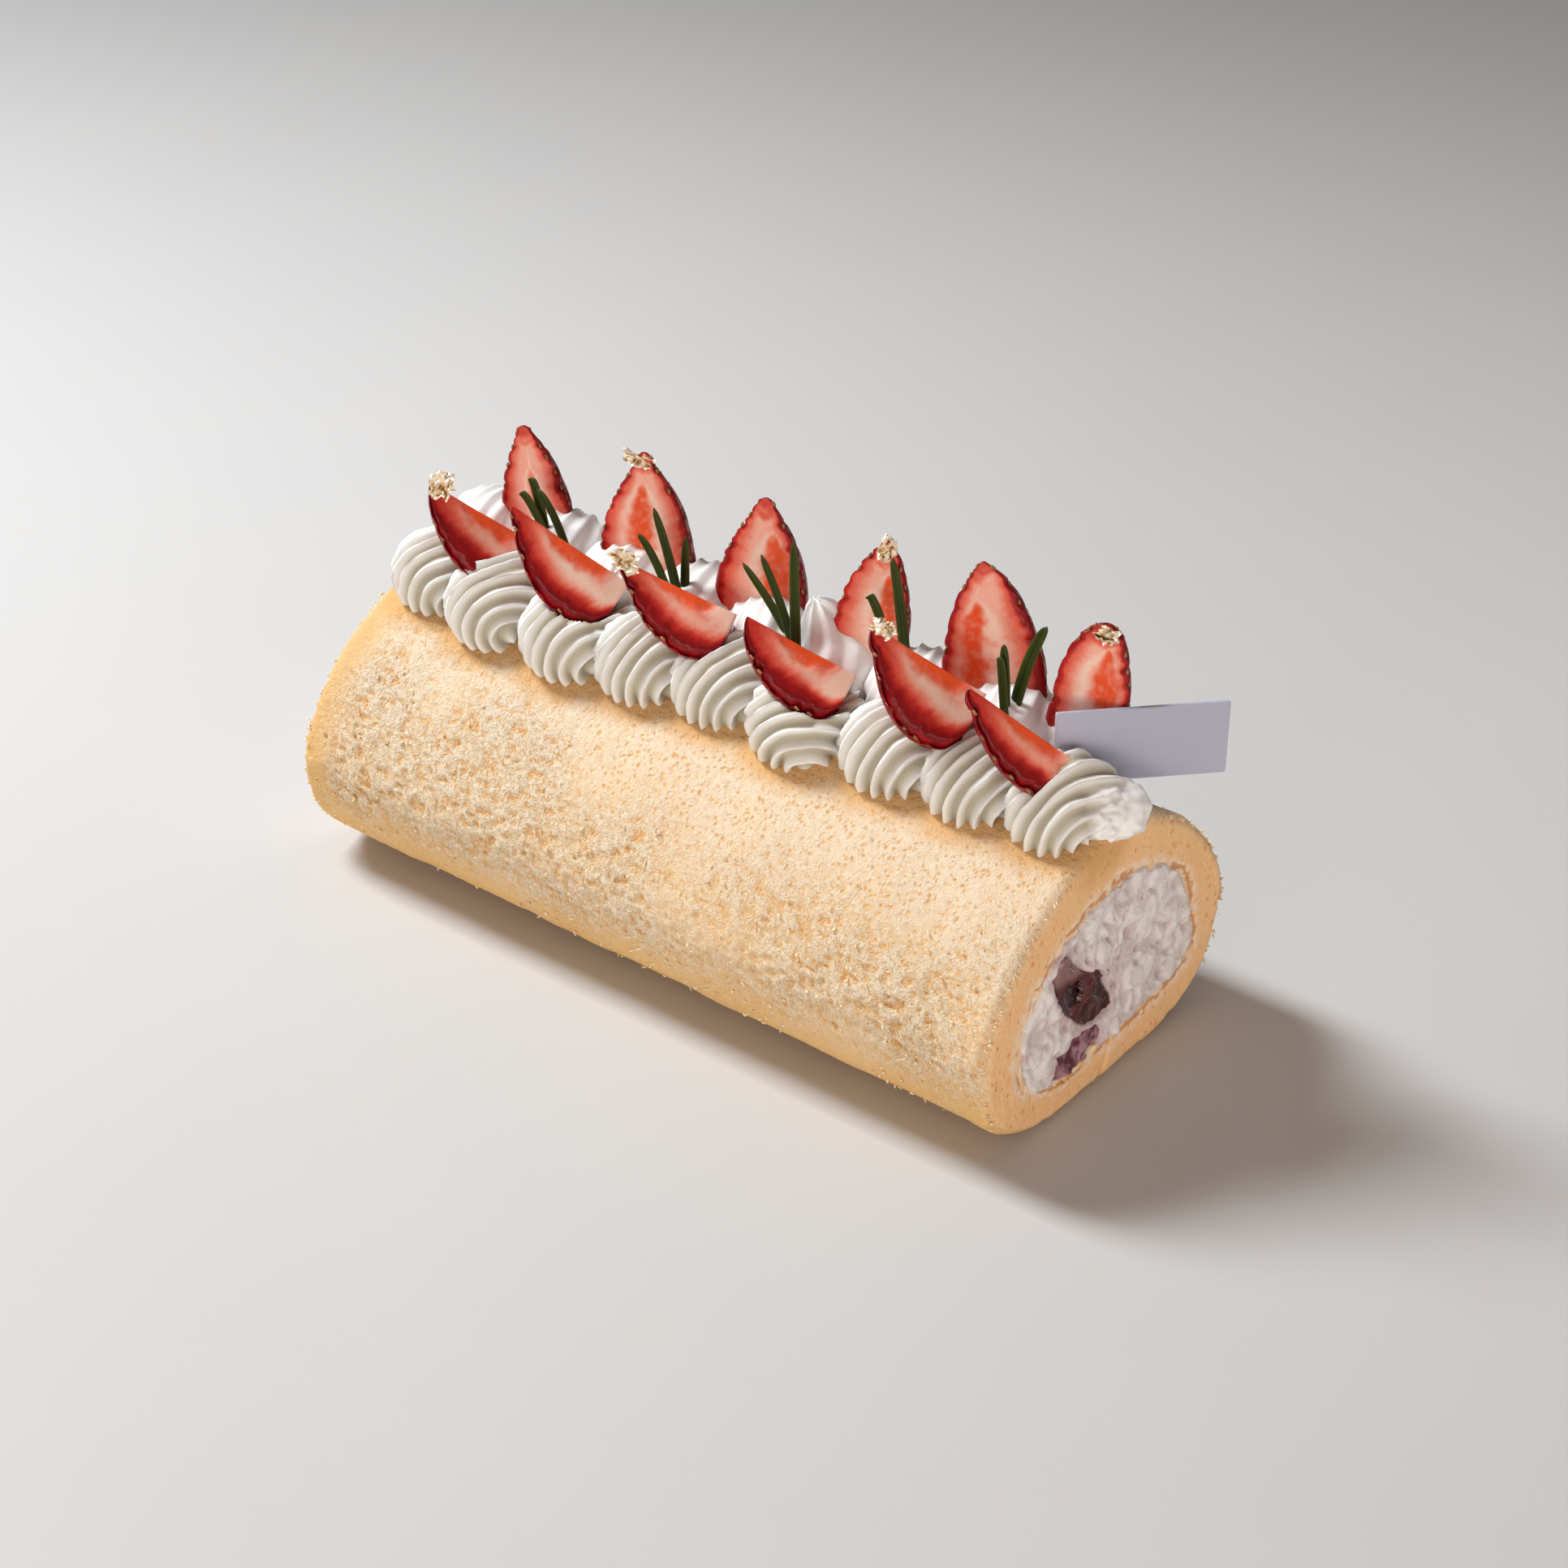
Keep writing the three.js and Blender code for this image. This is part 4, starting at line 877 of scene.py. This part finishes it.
def swirl(spec, obstacles, material):
    rings, columns, seed, pole = (spec[key] for key in ("rings", "columns", "seed", "pole"))
    polar, around = ball_angles(rings, columns)
    across = unit(np.cross((0, 0, 1), pole))
    up = np.cross(pole, across)
    ball = at_turn(np.sin(polar), around, np.cos(polar))
    direction = ball[:, 2:] * pole + ball[:, :1] * across + ball[:, 1:2] * up
    plain = np.linalg.norm(direction / SWIRL_AXES, axis=1)
    wave = direction * 10

    def towards(way, narrowness):
        return np.clip(direction @ way, 0, 1) ** narrowness

    tail = towards(spec["tail_direction"], TAIL_NARROWNESS)
    reach = spec["size"] / plain * (1 + spec["tail"] * tail)
    wobble = 0.12 * noise(wave, 7, seed) + 0.05 * noise(wave, 3, seed + 1)
    phase = (polar - EYE) / RIDGE_STEP + wobble
    if spec["name"] == PEAKED:  # its ridges run up to the peak
        phase = around / TAU * 8 + polar * 0.9 + wobble
        reach = reach + PEAK_REACH * towards(pole, PEAK_NARROWNESS)
    valley = np.abs(2 * (phase - np.floor(phase)) - 1)
    if spec["name"] != PEAKED:
        valley = np.where(polar < EYE, polar / EYE, valley)
    # Low down the ridges are full with sharp notches between; in the upper front they are thin
    # crests with hollows between.
    height = direction[:, 2]
    crested = 0.92 * smooth(-0.75, -0.05, height) * (1 - 0.5 * tail)
    full, thin = valley ** 2.2, 1 - (1 - valley) ** 2.2
    drop = spec["depth"] * (full + (thin - full) * crested)
    drop *= (1 + 0.22 * noise(wave, 5, seed + 2)) * (1.12 - 0.3 * smooth(0.2, 0.9, height))
    drop *= np.minimum(1, (math.pi - polar) / 0.5)
    ragged = 0.12 * noise(wave, 0.9, seed + 3) + 0.12 * noise(wave, 2.2, seed + 4)
    ragged *= (1 - valley) ** 3
    white = np.full(len(direction), spec["white"])
    if spec["name"] == SMEARED:
        wiped = smooth(0.72, 0.93, direction @ unit(WIPED) + 0.12 * noise(wave, 3, seed + 8))
        for way, size, narrowness, frayed in LUMPS:
            lump = size * towards(unit(way), narrowness)
            reach = reach + lump * (1 + frayed * noise(wave, 1.2, seed + 9))
        streaks = 0.8 * noise(wave * (1, 1, 3), 2.5, seed + 5) + 0.7 * noise(wave, 0.9, seed + 6)
        reach = reach + streaks * wiped
        white = 0.7 * wiped
        drop *= 1 - wiped
        ragged *= 1 - wiped
    reach = reach - drop + ragged + 0.15 * noise(wave, 6, seed + 7)
    reach = pressed_in(reach, direction, spec, obstacles)
    body, start, end = ball_faces(rings, columns)
    # valley carries the painted shade in the valleys between the ridges, white the painted light on
    # the back row and the whitening of the wiped part of the smear.
    return piece(spec["name"], spec["centre"] + direction * reach[:, None],
                 [body[:, ::-1], start, end], material, "cream", [spec["name"]],
                 valley=valley * np.minimum(1, drop / 0.8) * spec["shade"], white=white)


# ---- strawberries


def berry_radius(along, power):
    lower = 1 - (1 - BERRY_BASE) * (np.clip(BERRY_WIDEST - along, 0, None) / BERRY_WIDEST) ** 2
    t = np.clip((along - BERRY_WIDEST) / (1 - BERRY_WIDEST), 0, 1)
    blunt = 0.3 * smooth(0.86, 1, t) if power > 0.8 else 0
    upper = np.clip(1 - t ** 2, 0, 1) ** (power * (1 - blunt))
    return np.where(along < BERRY_WIDEST, lower, upper)


def berry_axes(base, tip, face, is_wedge):
    """Columns: across the cut face, into the berry, and up along its core."""
    up = unit(np.subtract(tip, base))
    out = unit(face - up * (up @ face))
    side = np.cross(up, out)
    if is_wedge and side[2] > 0:
        side = -side
    return np.stack([side, -out, up], -1)


def seed_places(length, radius, angle, rng):
    """Turn and share of the length of every seed: rows in the cut rims and a spiral between."""
    number = int(length * radius * 0.34)
    k = np.arange(number)
    spiral_turn = (k * TAU * 0.381966 + rng.random()) % TAU
    spiral_along = 0.06 + 0.91 * (k + 0.5) / number
    between = (spiral_turn > 0.25) & (spiral_turn < angle - 0.25)
    gaps = (2.4 + 2.6 * rng.random(int(length / 3.9)) for _ in range(2))
    rim, other = (0.05 + np.cumsum(gap) / length for gap in gaps)
    near, far = (0.03 + 0.16 * rng.random(len(rim)) for _ in range(2))
    turn = np.concatenate([spiral_turn[between], near, angle - far])
    along = np.concatenate([spiral_along[between], rim, other])
    return turn, np.clip(along, 0.03, 0.97)


def berry_loop(angle, is_half, face_steps, skin_steps):
    """Once round a cut berry: share of the way out to the skin, turn, and part, which is 0 on
    the cut face in front, 1 on the skin and 2 on the other cut face."""
    skin = [(1.0, a, 1) for a in np.linspace(0, angle, skin_steps + 2)[1:-1]]
    if is_half:
        loop = [(abs(s), angle if s < 0 else 0.0, 0) for s in np.linspace(-1, 1, face_steps)] + skin
    else:
        loop = [(s, 0.0, 0) for s in np.linspace(0, 1, face_steps)] + skin
        loop += [(s, angle, 2) for s in np.linspace(1, 0, face_steps // 2)[:-1]]
    return np.array(loop).T


def flesh_tones(pale, share, v, part, inside, streak):
    """How red the flesh is, from 0, nearly white, to 1, dark, and how much the skin shows. pale
    is how pale a wedge is, and None for a half."""
    out = share + streak
    if pale is None:
        ring = np.exp(-((inside - 1.5) / 0.7) ** 2) * smooth(0.9, 0.7, v)
        red = 0.15 + 0.29 * smooth(0.3, 0.8, out) + 0.38 * smooth(0.74, 0.95, out)
        red = np.maximum(red, 0.55 * smooth(0.8, 1.0, v + streak))
        red = red - 0.15 * ring * smooth(0.9, 0.5, share)
        return red, (part == 1).astype(float)
    bands = np.exp(-((share - 0.50 + 0.42 * v + streak * 0.6) / 0.19) ** 2) * smooth(0.95, 0.5, v)
    bands = bands * (0.35 + 0.65 * pale)
    bands = np.maximum(bands, smooth(0.36, 0.06, v + streak) * smooth(0.85, 0.5, share) * 0.95)
    red = 0.52 + 0.30 * smooth(0.48, 0.78, out) + 0.18 * smooth(0.74, 0.92, share)
    red = red + 0.08 * smooth(0.6, 0.95, v) - 0.5 * bands
    return red, np.maximum(part == 1, (part == 0) * smooth(0.87, 0.91, share + streak * 0.2))


def berry_shape(length, spec, seed):
    """Points of a cut berry in its own axes, its faces, its attributes and its seeds."""
    radius, power, angle, skew, (middle, width, start, end), pale = spec
    is_half = pale is None
    rows = 66
    loop = berry_loop(angle, is_half, 36, 44 if is_half else 26)
    columns = loop.shape[1]
    share, turn, part = (np.tile(values, rows) for values in loop)
    v = np.repeat(1 - (1 - np.linspace(0, 0.999, rows)) ** 1.25, columns)
    # Skin: full between the seeds, with a pit at every seed.
    seed_turn, seed_along = seed_places(length, radius, angle, np.random.default_rng(seed))
    seed_r = radius * berry_radius(seed_along, power) * (1 + skew * np.cos(seed_turn))
    seed_points = at_turn(seed_r, seed_turn, seed_along * length)
    r = radius * berry_radius(v, power) * (1 + skew * np.cos(turn))
    r = r * (0.8 + 0.2 * smooth(-0.02, 0.09, v))
    surface = at_turn(r, turn, v * length)
    d = np.linalg.norm(surface[:, None, :] - seed_points[None], axis=-1).min(1)
    pit = np.exp(-(d / 0.8) ** 2)
    lump = 0.3 * noise(surface + seed * 31, 7, seed) + 0.55 * smooth(0.3, 1.7, d) - 0.2
    r = r + (lump - 0.3 * pit) * smooth(1.0, 0.93, v)
    points = at_turn(r * share, turn, v * length)
    # The cut face: wet bumps along the rim, which rounds off, and a core that sinks in a little.
    across = share * np.where(turn > 1, -1, 1)
    flat = np.stack([across * r, part * 0, points[:, 2]], -1) + seed * 17
    rim = smooth(0.55, 0.9, share) * smooth(1.0, 0.96, share)
    body = width * np.sqrt(np.clip(1 - ((2 * v - start - end) / (end - start)) ** 2, 0, 1))
    inside = np.abs(across - middle) / np.maximum(body, 0.02)
    inside = inside + 0.35 * noise(flat, 2.5, seed + 9) + 0.2 * noise(flat, 1.0, seed + 10)
    core = smooth(1.45, 0.5, inside) * smooth(0.02, 0.2, body)
    rise = rim * (0.30 * noise(flat, 1.2, seed + 5) + 0.12)
    rise = rise + 0.14 * noise(flat, 3.5, seed + 6) - 0.35 * core
    sunk, rim_start = (0.5, 0.86) if is_half else (1.9, 0.78)
    rise = rise * smooth(1, 0.9, share) - sunk * smooth(rim_start, 1, share) ** 2
    points[:, 1] -= np.where(part == 0, rise, 0)
    tip = np.array([0, 0, length]) + points[-columns:].mean(0) * (1, 1, 0)
    points = np.vstack([points, points[:columns].mean(0), tip])
    # Fibres run out to the rim. The last two values of each attribute are the two ends' own.
    fibres = np.stack([flat[:, 0] * 0.3, flat[:, 1], flat[:, 2] - 0.6 * np.abs(across * r)], -1)
    streak = 0.05 * noise(fibres, 0.8, seed + 11) + 0.10 * noise(flat, 5, seed + 12)
    red, skin = flesh_tones(pale, share, v, part, inside, streak)
    # pit darkens the skin round each seed: painted shade in the pits.
    attributes = {"red": [*red, 0.2, 1], "core": [*core, 0, 0], "skin": [*skin, 0, 0.3],
                  "pit": [*(pit * skin), 0, 0]}
    outs = unit(at_turn(1, seed_turn, np.full_like(seed_turn, 0.25)))
    return points, tube_faces(rows, columns), attributes, seed_points - outs * 0.25, outs


def oval(steps, rings):
    """A unit ball as points and triangles."""
    polar, turn = ball_angles(rings, steps)
    body, first, final = ball_faces(rings, steps)
    tris = np.vstack([first, final, body[:, [0, 2, 1]], body[:, [0, 3, 2]]])
    return at_turn(np.sin(polar), turn, np.cos(polar)), tris


def berries(material):
    """Makes every strawberry piece, and gives back the seeds' places and the wedges' forms."""
    specs = [("front", QUARTER_FACE, base, tip,
              (radius, power, math.radians(angle), 0, QUARTER_CORE, pale))
             for base, tip, radius, power, angle, pale in QUARTERS]
    specs += [("back", HALF_FACE, base, tip, (radius, power, math.pi, skew, core, None))
              for base, tip, radius, skew, power, core in HALVES]
    seeds, wedges = [], []
    for number, (row, face, base, tip, spec) in enumerate(specs):
        is_wedge = row == "front"
        axes = berry_axes(base, tip, face, is_wedge)
        length = np.linalg.norm(np.subtract(tip, base)) * (0.985 if is_wedge else 1)
        points, faces, attributes, places, outs = berry_shape(length, spec, number * 3 + 11)
        if np.linalg.det(axes) < 0:
            faces = [f[:, ::-1] for f in faces]
        placed = points @ axes.T + base
        name = f"strawberry_{row}_{number % 6 + 1}"
        piece(name, placed, faces, material, "strawberry", [name], **attributes)
        clear = BARE_SHARE * length if is_wedge else 0
        seeds += [(axes @ place + base, axes @ out, axes[:, 2])
                  for place, out in zip(places, outs) if place[2] > clear]
        if is_wedge:
            polygons = [f.tolist() for group in faces for f in group]
            wedges.append((BVHTree.FromPolygons(placed.tolist(), polygons), base[0]))
    return seeds, wedges


def seed_piece(seeds, material):
    ball, tris = oval(6, 3)
    made = []
    for place, out, up in seeds:
        side = unit(np.cross(out, up))
        axes = np.stack([side * 0.42, np.cross(side, out) * 0.72, out * 0.32])
        made.append(ball @ axes + place + out * 0.1)
    return piece("strawberry_seeds", *together(made, tris), material, "strawberry")


# ---- gold leaf, needles, plaque


def gold_piece(material):
    """Crumpled scraps, each a thin sheet with two sides and sharp folds."""
    points, faces, folds = [], [], []
    wide, high = 15, 13
    size = wide * high
    u, v = (grid.ravel() for grid in np.meshgrid(np.linspace(-1, 1, wide), np.linspace(-1, 1, high)))
    index = np.arange(size).reshape(high, wide)
    edge = np.concatenate([index[0], index[1:, -1], index[-1, -2::-1], index[-2:0:-1, 0]])
    after = np.roll(edge, -1)
    grid = grid_faces(high, wide, closed=False)
    sheet_faces = [grid, grid[:, ::-1] + size, np.stack([edge, edge + size, after + size, after], -1)]
    face = unit(GOLD_FACE)
    side = unit(np.cross((0.2, 0.3, 1), face))
    over = np.cross(face, side)
    for number, (middle, (width, height)) in enumerate(GOLD):
        flat = np.stack([u * 3 + number * 20, v * 3, u * 0], -1)
        round_off = 1 - 0.25 * (u * v) ** 2
        x = u * width / 2 * (1 + 0.42 * noise(flat, 0.9, 61 + number)) * round_off
        y = v * height / 2 * (1 + 0.42 * noise(flat + 9, 0.9, 62 + number)) * round_off
        folded = np.abs(noise(flat + 4, 1.3, 63)) * 2.0 + np.abs(noise(flat + 7, 0.7, 64)) * 1.1 - 0.9
        sheet = np.array(middle) + x[:, None] * side + y[:, None] * over + folded[:, None] * face
        points += [sheet, sheet - face * 0.12]
        # Painted highlights and shade, in patches and partly by the height of the folds.
        folds += [np.clip(0.5 + 0.9 * noise(flat + 3, 0.55, 65) + 0.35 * (folded - 0.2), 0, 1)] * 2
        faces += [f + 2 * size * number for f in sheet_faces]
    return piece("gold_leaf", np.vstack(points), faces, material, "strawberry", flat=True,
                 fold=np.concatenate(folds))


def needle(number, spec, material):
    tip_x, tip_z, bend_x, bend_z, y, width = spec
    tip, bend = np.array([tip_x, y, tip_z]), np.array([bend_x, y, bend_z])
    drop = bend_z - ROOT_HEIGHT
    lean = (bend_x - tip_x) / (tip_z - bend_z) / 2
    root = bend + np.array([lean * drop, 0, -drop])
    along = unit(tip - bend)
    flat = unit(np.cross((0, 1, 0), along))
    face = np.cross(along, flat)
    stations, corners = 30, 16
    # A smooth curve through root, bend and tip.
    t, k = np.linspace(0, 1, stations), 0.45
    pull = (bend - root * (1 - k) ** 2 - tip * k ** 2) / (2 * k * (1 - k))
    s = t[:, None]
    middle = (1 - s) ** 2 * root + 2 * s * (1 - s) * pull + s ** 2 * tip
    taper = np.sqrt(1 - ((t - 0.86) / 0.14).clip(0, 1) ** 2) * 0.92 + 0.08
    half_width = width / 2 * (0.72 + 0.28 * np.sin(np.pi * np.clip(t * 1.05, 0, 1))) * taper
    half_height = NEEDLE_THICKNESS / 2 * (0.35 + 0.65 * taper)
    # A lens with rolled-down edges and a groove along the middle of both faces.
    a = np.arange(corners) / corners * TAU
    across = np.cos(a)
    lens = np.sign(np.sin(a)) * np.abs(np.sin(a)) ** 0.8 * (1 - 0.45 * np.exp(-(across / 0.16) ** 2))
    points = (middle[:, None, :] + np.outer(half_width, across)[..., None] * flat
              + np.outer(half_height, lens)[..., None] * face)
    points = np.vstack([points.reshape(-1, 3), middle[0], middle[-1] + along * 0.1])
    name = f"rosemary_{number}"
    return piece(name, points, tube_faces(stations, corners), material, "needle", [name],
                 across=[*np.tile(np.abs(across), stations), 0, 0],
                 along=[*np.repeat(t, corners), 0, 1])


def plaque(material):
    along = np.array([math.cos(PLAQUE_HEADING), math.sin(PLAQUE_HEADING), 0])
    out = np.array([along[1], -along[0], 0])
    middle = PLAQUE_START + along * PLAQUE_LENGTH / 2
    bevel, rows = 0.18, []
    for depth, inset in ((-0.5, bevel), (-0.5 + bevel, 0), (0.5 - bevel, 0), (0.5, bevel)):
        half = np.array([PLAQUE_LENGTH, PLAQUE_HEIGHT]) / 2 - inset - PLAQUE_CORNER
        for quarter, signs in enumerate(((1, 1), (-1, 1), (-1, -1), (1, -1))):
            a = np.linspace(0, math.pi / 2, 4) + quarter * math.pi / 2
            corner = signs * half + PLAQUE_CORNER * np.stack([np.cos(a), np.sin(a)], -1)
            rows.append(middle + corner[:, :1] * along + corner[:, 1:] * (0, 0, 1) + depth * out)
    points = np.vstack(rows + [middle - 0.5 * out, middle + 0.5 * out])
    return piece("plaque", points, tube_faces(4, 16), material, "plaque", ["plaque"], flat=True)


# ---- studio


def studio():
    scene = bpy.context.scene
    scene.view_settings.view_transform = "Standard"
    scene.world = bpy.data.worlds.new("studio")
    scene.world.use_nodes = True
    sky = scene.world.node_tree.nodes["Background"].inputs
    sky["Color"].default_value = WORLD_COLOUR
    sky["Strength"].default_value = WORLD_STRENGTH
    for name, direction, distance, size, power, colour in LIGHTS:
        data = bpy.data.lights.new(name, "AREA")
        data.shape = "RECTANGLE"
        data.size, data.size_y = size
        data.energy, data.color = power, colour
        made = add_object(name, data)
        out = Vector(direction).normalized()
        made.location = out * distance + Vector((0, 0, LIT_HEIGHT))
        made.rotation_euler = out.to_track_quat("Z", "Y").to_euler()


def stone_floor():
    mesh = bpy.data.meshes.new("floor")
    mesh.from_pydata([(-4, -4, 0), (4, -4, 0), (4, 4, 0), (-4, 4, 0)], [], [(0, 1, 2, 3)])
    n = Nodes("floor")
    # It has faint veins, and painted shade that makes it darker towards the back.
    x, y = (n.add("ShaderNodeSeparateXYZ", {0: n.place}, axis) for axis in "XY")
    vein = abs(n.noise(150, 4, 0.6) - 0.5)
    colour = n.paint(
        n.mix(n.noise(60, 4), (0.595, 0.60, 0.605), (0.62, 0.62, 0.62)),
        (n.span(vein, 0.006, 0.0, 0, 0.1), (0.66, 0.58, 0.52)),
        (n.span(y - x * 0.5, 0.05, 0.95, 0, 0.52), (0.03, 0.03, 0.03)),
    )
    mesh.materials.append(n.finish(colour, 0.6, specular=0.2))
    add_object("floor", mesh)


def camera():
    data = bpy.data.cameras.new("camera")
    data.lens, data.sensor_width = CAMERA_LENS, CAMERA_SENSOR
    made = add_object("camera", data)
    made.rotation_euler = (math.pi / 2 - CAMERA_ELEVATION, 0, CAMERA_AZIMUTH)
    right, up, back = made.rotation_euler.to_matrix().transposed()
    target = CAMERA_TARGET + right * CAMERA_SHIFT[0] + up * CAMERA_SHIFT[1]
    made.location = (target + back * CAMERA_DISTANCE) * MM
    bpy.context.scene.camera = made


# ---- the cake

sponge_look = sponge_material()
sponge("sponge_back", 0.0, 0.5, 170, sponge_look)
sponge("sponge_front", 0.5, 1.0, 262, sponge_look)
crumbs(crumb_material())
# The cream laps over the sponge here and there.
ragged_core = wavy_core(280, 0.5, [(0.9, 4.0, 27), (0.5, 1.5, 28)])
plug("filling_cream", ragged_core, 54, filling_relief, filling_material(), "filling")
plug("filling_fruit", rounded(FRUIT_OUTLINE, 90), 22, fruit_relief, fruit_material(), "fruit")
plug("filling_jam", rounded(JAM_OUTLINE, 60), 12, jam_relief, jam_material(), "jam")

seeds, wedges = berries(berry_material())
seed_piece(seeds, seed_material())
gold_piece(gold_material())
cream_look = cream_material()
for spec in swirl_specs():
    swirl(spec, wedges if "front" in spec["name"] else [], cream_look)
needle_look = needle_material()
for number, spec in enumerate(NEEDLES, 1):
    needle(number, spec, needle_look)
plaque(plaque_material())

studio()
stone_floor()
camera()
